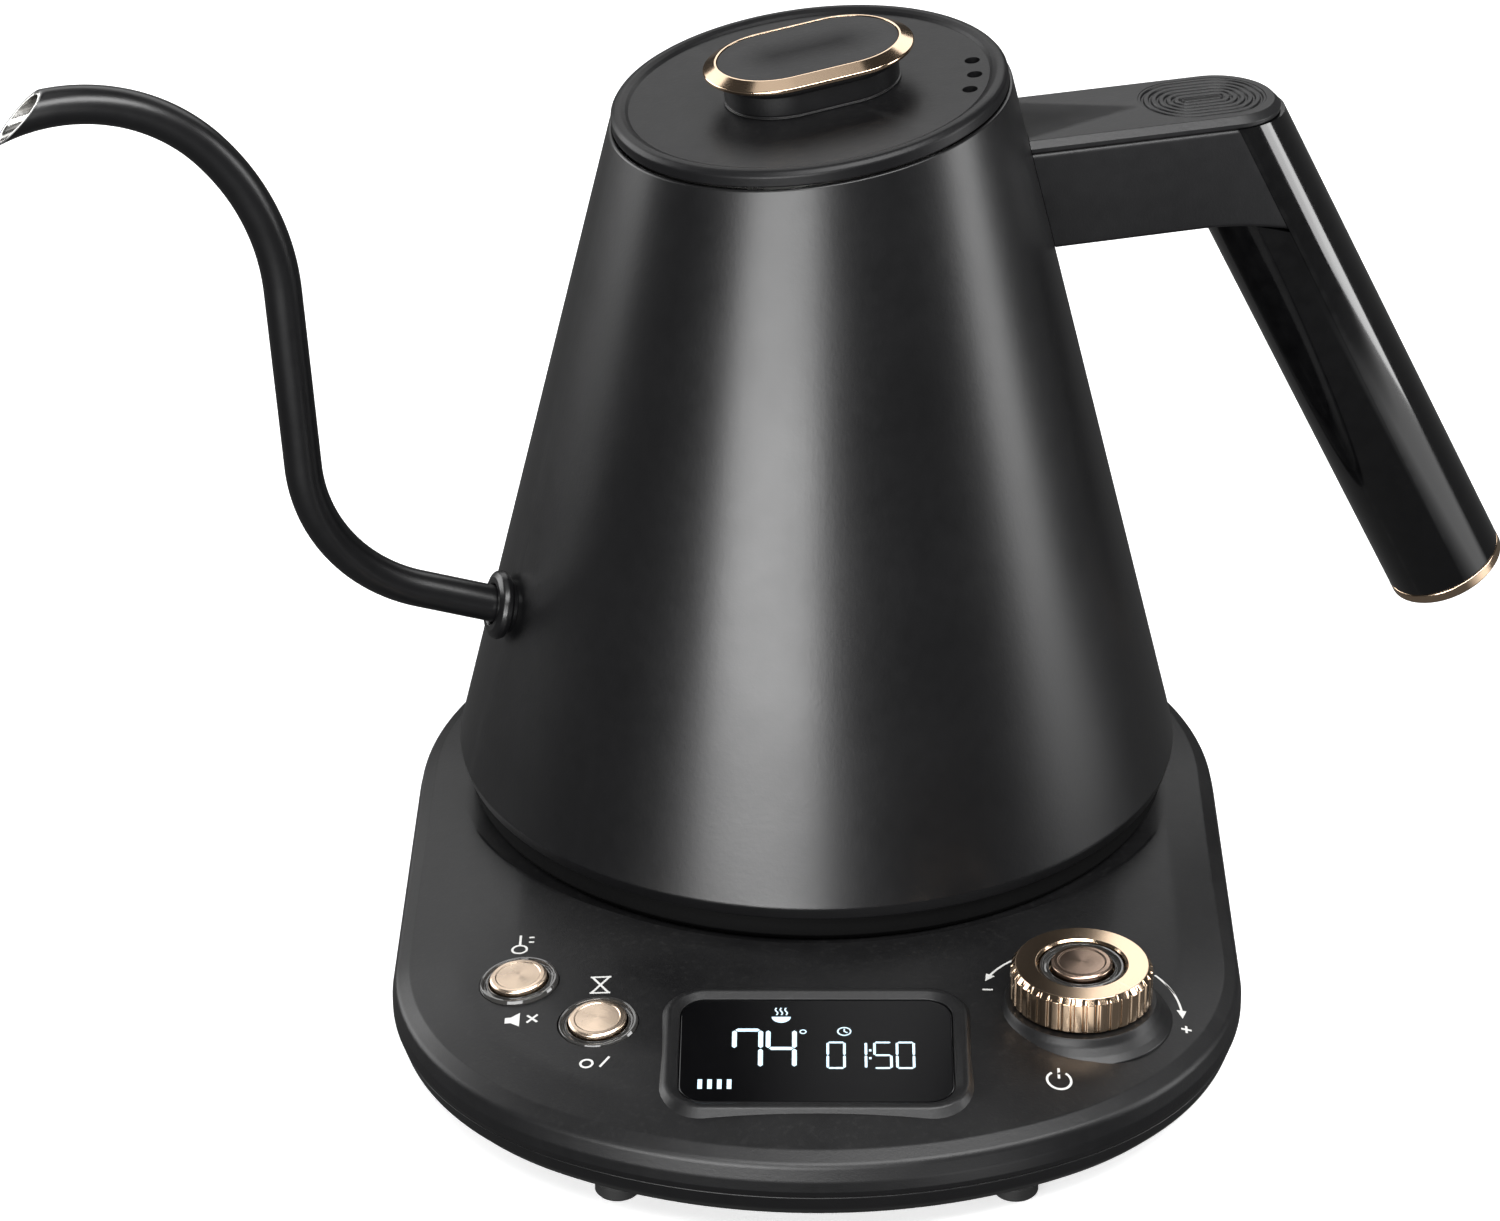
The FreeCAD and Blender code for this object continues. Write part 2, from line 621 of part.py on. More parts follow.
def make_handle():
    top, low = d.arm_top, d.arm_bottom
    under_cap = top - d.cap_thick
    joint_top = grip_point((d.cap_thick) / math.cos(math.radians(d.grip_tilt.value)))
    joint_low = grip_point((top - low + 2.8) / math.cos(math.radians(d.grip_tilt.value)))
    # steel bracket, welded to the cone and screwed inside the arm
    bracket = new_body("handle_bracket", in_kettle())
    face = new_sketch(bracket, "XZ_Plane")
    draw_polygon(face, [(40, 108.9), (66, 108.9), (66, 122.4), (40, 122.4)])
    feature(bracket, "Pad", face, 16, both_ways=True)
    revolve(bracket, cone_wedge(0.02), groove=True)
    # arm: a box section with a pocket for the bracket
    arm = new_body("handle_arm", in_kettle())
    side = new_sketch(arm, "XZ_Plane")
    under_side = [(d.grip_top_x - 5.0, low), (d.grip_top_x + 1.0, low - 0.4),
                  (d.grip_top_x + 6.5, low - 1.3), joint_low]
    draw_polygon(side, [(36, low)] + under_side + [joint_top, (36, under_cap)])
    feature(arm, "Pad", side, 2 * d.arm_half_width, both_ways=True)
    revolve(arm, cone_wedge(0.35), groove=True)
    cavity = new_sketch(arm, "XZ_Plane")
    draw_polygon(cavity, [(30, 108.4), (66.4, 108.4), (66.4, 122.9), (30, 122.9)])
    feature(arm, "Pocket", cavity, 17, both_ways=True)
    screw_holes = new_sketch(arm, "XY_Plane", low - 1)
    for x in (54, 62):
        draw_circle(screw_holes, 1.6, x, 0)
    feature(arm, "Pocket", screw_holes, 5, reverse=True)
    head_rooms = new_sketch(arm, "XY_Plane", low - 1)
    for x in (54, 62):
        draw_circle(head_rooms, 2.5, x, 0)
    feature(arm, "Pocket", head_rooms, 2.6, reverse=True)
    # cap plate over the arm, with a bevelled edge and the first groove of the thumb rest
    middle = 0.5 * (d.cap_end_x + 10)
    half_length = 0.5 * (d.cap_end_x - 10) + d.arm_half_width
    bevel = 1.3
    cap = stadium_stack([(half_length, d.arm_half_width, under_cap),
                         (half_length, d.arm_half_width, top - bevel),
                         (half_length - bevel, d.arm_half_width - bevel, top)], middle)
    cone = Part.makeCone(wall_radius(0, -0.35).value, wall_radius(d.cone_height, -0.35).value,
                         d.cone_height.value)
    deep = 0.4
    for outer in (12.9, 11.3, 9.7):
        groove = stadium_stack([(outer, outer - 3.3, top - deep), (outer, outer - 3.3, top + 1)], d.thumb_x)
        land = stadium_stack([(outer - 0.6, outer - 3.9, top - 1), (outer - 0.6, outer - 3.9, top + 2)],
                             d.thumb_x)
        cap = cap.cut(groove.cut(land))
    group_part("arm_cap", in_kettle(), [cap.cut(cone).removeSplitter()])
    # grip: a slanted tube under the cap, cut back where the arm enters
    length = d.grip_length
    ring = d.ring_length
    bore_start = 40.0
    grip = slanted_part("handle_grip", [
        (-16, 0), (-16, d.grip_radius), (length - ring, d.grip_radius), (length - ring, d.grip_bore),
        (bore_start, d.grip_bore), (bore_start, 0)])
    cut_level(grip, [(50, under_cap), (130, under_cap), (130, 170), (50, 170)])
    cut_level(grip, [(50, under_cap + 1), (joint_top[0], under_cap + 1), joint_top]
              + under_side[::-1] + [(50, low)])
    slanted_part("grip_ring", [
        (length - ring + 0.02, d.grip_bore), (length - ring + 0.02, d.grip_radius + 0.05),
        (length - 0.5, d.grip_radius + 0.05), (length, d.grip_radius - 0.5), (length, d.grip_bore)])
    slanted_part("grip_end_cap", [
        (length - 9, 0), (length - 9, d.grip_bore - 0.1), (length - 0.5, d.grip_bore - 0.1),
        (length - 0.5, 3.0), (length - 2.5, 3.0), (length - 2.5, 0)])
    slanted_part("grip_end_screw", [
        (length - 2.45, 0), (length - 2.45, 2.5), (length - 1.0, 2.5), (length - 0.8, 0)])
    group_part("handle_screws", in_kettle(), [
        screw(x, 0, low + 0.2, head=2.4, shank=1.2, length=1.9, head_height=1.3) for x in (54, 62)])


# ---------------------------------------------------------------- power base
def corner_centre_y():
    """Level along Y of the corner arcs' centres, from where they meet the front arc."""
    across = d.base_half_width.value - d.corner_radius.value
    between = d.front_radius.value - d.corner_radius.value
    return d.front_radius.value - d.base_front.value - math.sqrt(between ** 2 - across ** 2)


def base_outline(inset, level):
    """Plan outline: half circle behind, straight sides, soft corners, shallow front arc."""
    half = d.base_half_width.value
    corner = d.corner_radius.value
    front = d.front_radius.value
    front_centre = -d.base_front.value + front
    corner_x = half - corner
    corner_y = corner_centre_y()
    angle = math.atan2(corner_y - front_centre, corner_x)

    def arc(cx, cy, radius, start, end):
        points = [V(cx + radius * math.cos(a), cy + radius * math.sin(a), level)
                  for a in (start, (start + end) / 2, end)]
        return Part.Arc(*points).toShape()

    rear_radius = half - inset
    corner_inset = corner - inset
    front_inset = front - inset
    edges = [arc(0, 0, rear_radius, 0, math.pi)]
    edges.append(Part.LineSegment(V(-rear_radius, 0, level), V(-rear_radius, corner_y, level)).toShape())
    edges.append(arc(-corner_x, corner_y, corner_inset, math.pi, math.pi - angle))
    edges.append(arc(0, front_centre, front_inset, -math.pi - angle, angle))
    edges.append(arc(corner_x, corner_y, corner_inset, angle, 0))
    edges.append(Part.LineSegment(V(rear_radius, corner_y, level), V(rear_radius, 0, level)).toShape())
    return Part.Wire(Part.__sortEdges__(edges))


def stack(levels):
    """A solid through plan outlines, each given as inset and level."""
    solids = []
    for (inset_a, level_a), (inset_b, level_b) in zip(levels, levels[1:]):
        solids.append(Part.makeLoft([base_outline(inset_a, level_a), base_outline(inset_b, level_b)],
                                    True, True))
    whole = solids[0]
    for item in solids[1:]:
        whole = whole.fuse(item)
    return whole.removeSplitter()


BUTTONS = {"temp": (-56.6, -86.8), "hold": (-41.0, -101.4)}


def button_yaw(name):
    """Direction of a button from the centre of the corner's arc, in degrees."""
    x, y = BUTTONS[name]
    centre_x = -(d.base_half_width.value - d.corner_radius.value)
    return math.degrees(math.atan2(y - corner_centre_y(), x - centre_x))


def button_frame(name, level):
    """Placement of a button on the crowned top, leaning outwards from the corner's centre."""
    x, y = BUTTONS[name]
    return in_base(x, y, level, button_yaw(name), d.button_tilt)


def button_axis(name):
    yaw = math.radians(button_yaw(name))
    tilt = math.radians(d.button_tilt.value)
    return V(math.sin(tilt) * math.cos(yaw), math.sin(tilt) * math.sin(yaw), math.cos(tilt))


BUTTON_LEVEL = 24.0


def make_base_covers():
    ridge, crown = d.ridge_level.value, d.crown_level.value
    parting = d.parting_level.value
    outside = stack([(0.5, parting), (0.0, parting + 1.5), (0.0, 15.5), (1.1, 18.4), (3.5, ridge),
                     (12.0, ridge + 2.2), (24.0, crown - 0.85), (42.0, crown)])
    inside = stack([(2.6, parting - 1), (2.6, 15.5), (3.6, 17.4), (6.0, ridge - 2.4),
                    (13.0, ridge - 0.2), (25.0, crown - 3.2), (43.0, crown - 2.4)])
    gland = cylinder(GLAND_RADIUS + 0.05, 14, V(0, d.base_half_width.value - 8, GLAND_LEVEL), V(0, 1, 0))
    seat = cylinder(d.seat_radius.value, 10, V(0, 0, d.seat_level.value))
    seat_floor = cylinder(d.seat_radius.value + 2, 2.0, V(0, 0, d.seat_level.value - 2.0))
    top = outside.cut(inside).cut(seat).fuse(seat_floor.common(outside))
    top = top.cut(cylinder(d.post_radius.value + 0.4, 20, V(0, 0, 10)))
    for name, (x, y) in BUTTONS.items():
        axis = button_axis(name)
        start = V(x, y, BUTTON_LEVEL) - axis * 6
        top = top.cut(cylinder(d.button_ring.value + 0.15, 12, start, axis))
    dial_x, dial_y = d.dial_x.value, d.dial_y.value
    pad = cylinder(d.collar_radius.value + 2.0, 4.0, V(dial_x, dial_y, crown_under_dial().value - 0.95))
    top = top.fuse(pad.common(outside))
    top = top.cut(cylinder(d.collar_radius.value + 0.15, 8, V(dial_x, dial_y, crown_under_dial().value - 0.05)))
    top = top.cut(cylinder(5.2, 20, V(dial_x, dial_y, 12)))
    wide, deep = d.display_wide.value, d.display_deep.value
    tilt = FreeCAD.Rotation(V(1, 0, 0), d.display_tilt.value)
    place = FreeCAD.Placement(V(0, d.display_y.value, 0), FreeCAD.Rotation()).multiply(
        FreeCAD.Placement(V(0, 0, display_level()), tilt))
    opening = Part.makeBox(wide - 3, deep - 3, 12, V(-wide / 2 + 1.5, -deep / 2 + 1.5, -7))
    recess = Part.makeBox(wide + 0.5, deep + 0.5, 8, V(-wide / 2 - 0.25, -deep / 2 - 0.25, -1.25))
    opening.Placement = place
    recess.Placement = place
    for x, y in BASE_SCREWS:
        post = cylinder(3.6, 8.0, V(x, y, parting + 3.6)).common(outside)
        top = top.fuse(post).cut(cylinder(1.55, 4.4, V(x, y, parting + 3.5)))
    top = top.cut(opening).cut(recess)
    top = top.cut(gland)
    top = top.removeSplitter()
    group_part("base_top_cover", in_base(), [top.Solids[0] if len(top.Solids) == 1 else top])
    low = d.feet_height.value
    shell = stack([(8.0, low), (4.6, low + 1.2), (1.6, low + 4.2), (0.5, parting - 0.1)])
    hollow = stack([(9.6, low + 2.0), (6.4, low + 2.6), (3.6, low + 4.9), (2.6, parting + 1)])
    bottom = shell.cut(hollow)
    for x, y in FEET:
        bottom = bottom.cut(cylinder(4.35, 1.0, V(x, y, low - 0.01)))
    for x, y in BASE_SCREWS:
        bottom = bottom.fuse(cylinder(4.4, 10.0, V(x, y, low + 1)))
        bottom = bottom.cut(cylinder(3.0, 3.0, V(x, y, low - 1)))
        bottom = bottom.cut(cylinder(1.6, 20.0, V(x, y, low - 1)))
    bottom = bottom.cut(gland)
    group_part("base_bottom_cover", in_base(), [bottom.removeSplitter()])


def display_level():
    return d.crown_level.value - 1.15


FEET = ((-37.0, -121.0), (37.0, -121.0), (-50.0, 42.0), (50.0, 42.0))
BASE_SCREWS = ((-20.0, -127.0), (20.0, -127.0), (-62.0, 22.0), (62.0, 22.0))
GLAND_RADIUS = 4.6
GLAND_BORE = 3.3
GLAND_LEVEL = 11.5


def make_base():
    make_base_covers()
    low = d.feet_height.value
    group_part("base_feet", in_base(), [cylinder(4.3, low + 0.9, V(x, y, 0)) for x, y in FEET])
    group_part("base_screws", in_base(), [
        screw(x, y, low + 0.3, head=2.7, shank=1.5, length=13.0) for x, y in BASE_SCREWS])
    turned_part("connector_post", in_base(), [
        (0, d.post_top), (8.6, d.post_top), (8.6, d.post_top - 8), (9.6, d.post_top - 8),
        (9.6, d.post_top - 1.2), (d.post_radius - 0.8, d.post_top - 1.2),
        (d.post_radius, d.post_top - 2.0), (d.post_radius, d.seat_level - 2.1), (22, d.seat_level - 2.1),
        (22, d.seat_level - 4.1), (11.0, d.seat_level - 4.1), (11.0, 12.5), (0, 12.5)])
    turned_part("post_contacts", in_base(), [
        (8.75, d.post_top - 7.8), (9.45, d.post_top - 7.8), (9.45, d.post_top - 2.0),
        (8.75, d.post_top - 2.0)])
    plate_part("power_board", in_base(), -30, 34, -62, -28, 10.6, 12.2)
    plate_part("mains_relay", in_base(), -24, -5, -56, -40.5, 12.25, 17.4)
    disc_part("buzzer", in_base(22, -46, 12.25), 5.0, 0, 4.6, [(1.0, 0, 0)])
    plate_part("control_board", in_base(), -28.0, 60, -112, -84.5, 13.9, 15.4)
    group_part("tact_switches", in_base(), [
        Part.makeBox(6, 6, 2.85, V(x - 3, y - 3, 15.45)).fuse(
            cylinder(1.6, 0.7, V(x, y, 18.3))) for x, y in BUTTONS.values()])
    plate_part("button_board", in_base(), -64, -34, -108, -80, 13.9, 15.4)
    turned_part("dial_encoder", in_base(d.dial_x, d.dial_y, 0), [
        (0, 15.45), (6.0, 15.45), (6.0, 20.3), (4.62, 20.3), (4.62, 27.8), (0, 27.8)])
    turned_part("dial_collar", in_base(d.dial_x, d.dial_y, 0), [
        (6.4, crown_under_dial()), (d.collar_radius, crown_under_dial()),
        (d.collar_radius, crown_under_dial() + 1.5), (d.dial_radius + 0.9, d.dial_low - 0.3),
        (6.4, d.dial_low - 0.3)])
    group_part("cord_gland", in_base(0, d.base_half_width - 9.5, GLAND_LEVEL), [make_gland()])
    place = in_base(0, d.display_y, display_level(), 0, 0, d.display_tilt)
    plate_part("display_lens", place, -d.display_wide / 2, d.display_wide / 2,
               -d.display_deep / 2, d.display_deep / 2, -1.15, 0.05)
    plate_part("display_module", place, -23.4, 23.4, -12.8, 12.8, -5.4, -1.35)


def crown_under_dial():
    return d.crown_level - 3.55


def make_gland():
    """Grommet in the rear wall: a tube with a flange on each side."""
    body = cylinder(GLAND_RADIUS, 9.3, V(0, 0, 0), V(0, 1, 0))
    body = body.fuse(cylinder(GLAND_RADIUS + 1.2, 1.4, V(0, 1.0, 0), V(0, 1, 0)).common(
        Part.makeBox(20, 20, 20, V(-10, -10, -4.2))))
    return body.cut(cylinder(GLAND_BORE, 30, V(0, -10, 0), V(0, 1, 0))).removeSplitter()


def fluted_shape(radius, low, high, count, depth):
    """A round knob with a ring of round-bottomed flutes."""
    knob = cylinder(radius, high - low, V(0, 0, low))
    cutters = []
    for i in range(count):
        angle = 2 * math.pi * i / count
        reach = radius + 0.95 - depth
        cutters.append(cylinder(0.95, high - low + 2, V(reach * math.cos(angle), reach * math.sin(angle),
                                                        low - 1)))
    return knob.cut(cutters)


def make_controls():
    """Dial, its window, the start button and the two side buttons."""
    low, high = d.dial_low.value, d.dial_top.value
    radius = d.dial_radius.value
    knob = fluted_shape(radius, low, high - 1.0, 36, 0.55)
    cap = Part.makeCone(radius - 0.1, radius - 1.0, 1.0, V(0, 0, high - 1.0))
    knob = knob.fuse(cap)
    knob = knob.cut(cylinder(8.3, 3.4, V(0, 0, high - 2.4)))
    knob = knob.cut(cylinder(6.15, 3.5, V(0, 0, high - 5.8)))
    knob = knob.cut(cylinder(4.7, 4.0, V(0, 0, low - 0.1)))
    group_part("dial_knob", in_base(d.dial_x, d.dial_y, 0), [knob.removeSplitter()])
    turned_part("dial_window", in_base(d.dial_x, d.dial_y, 0), [
        (6.15, d.dial_top - 2.35), (8.15, d.dial_top - 2.35), (8.15, d.dial_top - 0.9),
        (7.0, d.dial_top - 0.2), (6.15, d.dial_top - 0.2)])
    turned_part("start_button", in_base(d.dial_x, d.dial_y, 0), [
        (0, d.dial_top - 4.0), (5.8, d.dial_top - 4.0), (5.8, d.dial_top + 0.1),
        (5.3, d.dial_top + 0.5), (0, d.dial_top + 0.5)])
    for name in BUTTONS:
        where = button_frame(name, BUTTON_LEVEL)
        ring = d.button_ring
        bore = d.button_radius + 0.35
        turned_part(name + "_button_ring", where, [
            (bore, -3.0), (ring, -3.0), (ring, 0.1), (ring - 0.7, 0.75), (bore + 0.2, 0.75),
            (bore, 0.4)])
        turned_part(name + "_button", where, [
            (0, -3.6), (d.button_radius + 0.0, -3.6), (d.button_radius, 1.2),
            (d.button_radius - 0.5, 1.6), (0, 1.6)])


make_shell()
make_kettle_bottom()
make_neck()
make_lid()
make_spout()
make_handle()
make_base()
make_controls()
doc.recompute()

# ---------------------------------------------------------------- checks and export
for item in doc.Objects:
    if "Invalid" in item.State or "Error" in item.State:
        raise RuntimeError("failed object: %s %s" % (item.Name, item.State))
whole = FreeCAD.BoundBox()
for item in parts:
    shape = item.Shape
    if shape.isNull() or not shape.isValid() or not shape.Solids:
        raise RuntimeError("bad shape: " + item.Label)
    whole.add(shape.BoundBox)
    shape.exportStep("parts/%s.step" % item.Label)
print("sub-parts", len(parts))
print("box", [round(v, 2) for v in (whole.XMin, whole.YMin, whole.ZMin, whole.XMax, whole.YMax, whole.ZMax)])
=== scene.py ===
"""Finished look of an electric gooseneck kettle on its power base.

Each piece is worked out in millimetres in the frame of its sub-assembly and is then put into the
row frame, in metres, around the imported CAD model. Sizes repeat those of the part's source.
"""

import json
import logging
import math
from dataclasses import dataclass, field, replace
from enum import Enum
from typing import Any, Iterable, Optional, Sequence

import bmesh
import bpy
import numpy as np
from mathutils import Matrix


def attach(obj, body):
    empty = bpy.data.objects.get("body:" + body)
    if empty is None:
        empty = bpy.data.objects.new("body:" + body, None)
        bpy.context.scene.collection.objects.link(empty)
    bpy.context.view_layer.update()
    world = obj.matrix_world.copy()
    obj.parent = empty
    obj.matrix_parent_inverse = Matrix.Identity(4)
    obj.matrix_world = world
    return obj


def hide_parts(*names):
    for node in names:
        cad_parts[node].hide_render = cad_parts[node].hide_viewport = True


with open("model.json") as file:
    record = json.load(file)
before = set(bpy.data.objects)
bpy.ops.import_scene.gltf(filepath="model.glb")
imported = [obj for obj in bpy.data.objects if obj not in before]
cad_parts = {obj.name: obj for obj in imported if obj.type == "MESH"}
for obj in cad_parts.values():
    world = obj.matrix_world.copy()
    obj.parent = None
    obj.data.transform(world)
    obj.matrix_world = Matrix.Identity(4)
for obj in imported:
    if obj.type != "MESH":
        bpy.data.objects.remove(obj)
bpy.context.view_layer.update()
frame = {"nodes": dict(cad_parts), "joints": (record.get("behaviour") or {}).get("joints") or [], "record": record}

MM = 0.001
BUMP_DEPTH = 0.2 * MM
MERGE_GAP = 2e-6  # points nearer than this are one point, in metres
EMPTY_GAP = 1e-7  # edges shorter than this are dropped, in metres
log = logging.getLogger("kettle")

WHITE = (1.0, 1.0, 1.0, 1.0)

Array = np.ndarray
Colour = tuple[float, float, float]


class Body(Enum):
    """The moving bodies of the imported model."""

    BASE = "power_base"
    KETTLE = "kettle"
    LID = "lid"
    DIAL = "dial"
    START = "start_key"
    TEMP = "temp_key"
    HOLD = "hold_key"


class Relief(Enum):
    """The kinds of fine surface texture that a finish can have."""

    PEEL = "peel"
    MOULDED = "moulded"
    BRUSHED = "brushed"
    SPUN = "spun"


# ------------------------------------------------------------------------------------ node groups
class Nodes:
    """Adds nodes to one node tree."""

    def __init__(self, tree: bpy.types.NodeTree) -> None:
        """Keeps the tree and empties it.

        Args:
            tree: the tree that the nodes go into.
        """
        self.tree = tree
        tree.nodes.clear()

    def add(self, kind: str, inputs: Optional[dict[Any, Any]] = None, **settings: Any) -> bpy.types.Node:
        """Adds a node, sets its properties, and fills or links its inputs.

        Args:
            kind: Blender's name of the node type, without the "ShaderNode" in front.
            inputs: input name or number to a value or to another node's output socket.
            settings: the node's own properties.

        Returns:
            The new node.
        """
        prefix = "" if kind.startswith("NodeGroup") else "ShaderNode"
        node = self.tree.nodes.new(prefix + kind)
        for key, value in settings.items():
            setattr(node, key, value)
        for key, value in (inputs or {}).items():
            if isinstance(value, bpy.types.NodeSocket):
                self.tree.links.new(value, node.inputs[key])
            else:
                node.inputs[key].default_value = value
        return node

    def math(self, operation: str, *values: Any) -> bpy.types.NodeSocket:
        """Returns the output of a math node over these values or sockets."""
        return self.add("Math", dict(enumerate(values)), operation=operation).outputs[0]

    def spread(self, value: Any, low: Any, high: Any, to_low: Any = 0.0,
               to_high: Any = 1.0) -> bpy.types.NodeSocket:
        """Returns value carried from the range low..high to to_low..to_high, held at both ends."""
        return self.add("MapRange", {0: value, 1: low, 2: high, 3: to_low, 4: to_high}).outputs[0]

    def noise(self, vector: Any, scale: Any, detail: float = 2.0) -> bpy.types.NodeSocket:
        """Returns the value of a noise texture at vector."""
        return self.add("TexNoise", {"Vector": vector, "Scale": scale, "Detail": detail}).outputs["Fac"]

    def blend(self, share: Any, first: Any, second: Any) -> bpy.types.NodeSocket:
        """Returns the colour between first and second at a share of 0 to 1."""
        node = self.add("Mix", {0: share, 6: first, 7: second}, data_type="RGBA")
        return node.outputs[2]

    def by_camera(self, other: bpy.types.Node, seen: bpy.types.Node) -> bpy.types.NodeSocket:
        """Returns a shader that is seen to the camera's own rays and other to the rest."""
        path = self.add("LightPath").outputs["Is Camera Ray"]
        return self.add("MixShader", {0: path, 1: other.outputs[0], 2: seen.outputs[0]}).outputs[0]


def new_group(name: str, inputs: Iterable[tuple[str, str, Any]],
              outputs: Iterable[tuple[str, str]]) -> tuple[Nodes, bpy.types.Node, bpy.types.Node]:
    """Starts a shader node group with named sockets.

    Args:
        name: the group's name.
        inputs: name, socket kind ("Float", "Color" or "Vector") and default of each input.
        outputs: name and socket kind of each output.

    Returns:
        The group's nodes, its input node and its output node.
    """
    tree = bpy.data.node_groups.new(name, "ShaderNodeTree")
    for label, kind, default in inputs:
        socket = tree.interface.new_socket(label, in_out="INPUT", socket_type="NodeSocket" + kind)
        if default is not None:
            socket.default_value = default
    for label, kind in outputs:
        tree.interface.new_socket(label, in_out="OUTPUT", socket_type="NodeSocket" + kind)
    nodes = Nodes(tree)
    return nodes, nodes.add("NodeGroupInput"), nodes.add("NodeGroupOutput")


def build_tone_group() -> bpy.types.NodeTree:
    """Makes the group that varies colour and roughness: mottling, lighter convex edges that are partly rubbed wear
    and partly a painted sheen, and settled dust.

    Returns:
        The group, with outputs Color and Roughness.
    """
    white, grey = (1, 1, 1, 1), (0.2, 0.2, 0.2, 1)
    n, given, out = new_group(
        "surface_tone",
        [("Vector", "Vector", None), ("Colour", "Color", grey), ("Second Colour", "Color", white),
         ("Edge Wear And Sheen Colour", "Color", white), ("Mottle Scale", "Float", 40.0), ("Roughness", "Float", 0.4),
         ("Roughness Spread", "Float", 0.05), ("Edge Wear And Sheen Amount", "Float", 0.3), ("Dust Amount", "Float", 0.02)],
        [("Color", "Color"), ("Roughness", "Float")])
    get = given.outputs
    broad = n.noise(get["Vector"], get["Mottle Scale"], 3.0)
    fine = n.noise(get["Vector"], n.math("MULTIPLY", get["Mottle Scale"], 9.0), 4.0)
    mixed = n.math("ADD", n.math("MULTIPLY", broad, 0.65), n.math("MULTIPLY", fine, 0.35))
    mottle = n.spread(mixed, 0.35, 0.65)
    colour = n.blend(mottle, get["Colour"], get["Second Colour"])
    surface = n.add("NewGeometry")
    # convex edges, found by pointiness, get the lighter edge colour: partly rubbed wear, partly a painted sheen
    edge = n.spread(surface.outputs["Pointiness"], 0.515, 0.6)
    edge = n.math("MULTIPLY", n.math("MULTIPLY", edge, n.spread(fine, 0.3, 0.6)), get["Edge Wear And Sheen Amount"])
    colour = n.blend(edge, colour, get["Edge Wear And Sheen Colour"])
    upward = n.add("SeparateXYZ", {0: surface.outputs["Normal"]}).outputs["Z"]
    specks = n.spread(n.noise(get["Vector"], 900.0, 2.0), 0.55, 0.75)
    settled = n.math("MULTIPLY", n.spread(upward, 0.5, 1.0), n.math("ADD", specks, n.spread(broad, 0.4, 0.8)))
    dust = n.math("MULTIPLY", settled, get["Dust Amount"])
    colour = n.blend(dust, colour, (0.55, 0.54, 0.52, 1))
    spread = get["Roughness Spread"]
    change = n.spread(mottle, 0.0, 1.0, n.math("MULTIPLY", spread, -1.0), spread)
    rough = n.math("ADD", n.math("ADD", change, get["Roughness"]), n.math("MULTIPLY", dust, 0.8))
    n.tree.links.new(colour, out.inputs["Color"])
    n.tree.links.new(rough, out.inputs["Roughness"])
    return n.tree


def build_peel_group() -> bpy.types.NodeTree:
    """Makes the group for sprayed and moulded skins: soft dimples under a finer grain.

    Returns:
        The group, with the output Height.
    """
    n, given, out = new_group("skin_grain", [("Vector", "Vector", None), ("Scale", "Float", 1500.0)],
                              [("Height", "Float")])
    get = given.outputs
    soft = n.noise(get["Vector"], n.math("MULTIPLY", get["Scale"], 0.4), 1.0)
    fine = n.noise(get["Vector"], get["Scale"], 2.0)
    n.tree.links.new(n.math("ADD", n.math("MULTIPLY", soft, 0.6), n.math("MULTIPLY", fine, 0.4)),
                     out.inputs["Height"])
    return n.tree


def build_brushed_group() -> bpy.types.NodeTree:
    """Makes the group for brushed metal: noise drawn out along local Z.

    Returns:
        The group, with the output Height.
    """
    n, given, out = new_group("brushed_lines", [("Vector", "Vector", None), ("Scale", "Float", 1500.0)],
                              [("Height", "Float")])
    get = given.outputs
    drawn = n.add("Mapping", {"Vector": get["Vector"], "Scale": (1.0, 1.0, 0.04)}).outputs[0]
    n.tree.links.new(n.noise(drawn, get["Scale"], 3.0), out.inputs["Height"])
    return n.tree


def build_spun_group() -> bpy.types.NodeTree:
    """Makes the group for spun metal: fine rings about local Z, a little uneven round the circle.

    Returns:
        The group, with the output Height.
    """
    n, given, out = new_group("spun_rings", [("Vector", "Vector", None), ("Scale", "Float", 1500.0)],
                              [("Height", "Float")])
    get = given.outputs
    part = n.add("SeparateXYZ", {0: get["Vector"]})
    x, y = part.outputs["X"], part.outputs["Y"]
    reach = n.math("SQRT", n.math("ADD", n.math("MULTIPLY", x, x), n.math("MULTIPLY", y, y)))
    waver = n.math("MULTIPLY", n.noise(get["Vector"], 120.0, 1.0), 0.00003)
    ring = n.add("CombineXYZ", {0: n.math("ADD", reach, waver)}).outputs[0]
    n.tree.links.new(n.noise(ring, n.math("MULTIPLY", get["Scale"], 4.0), 2.0), out.inputs["Height"])
    return n.tree


TONE = build_tone_group()
PEEL_GROUP = build_peel_group()
SKINS = {Relief.PEEL: PEEL_GROUP, Relief.MOULDED: PEEL_GROUP, Relief.BRUSHED: build_brushed_group(),
         Relief.SPUN: build_spun_group()}


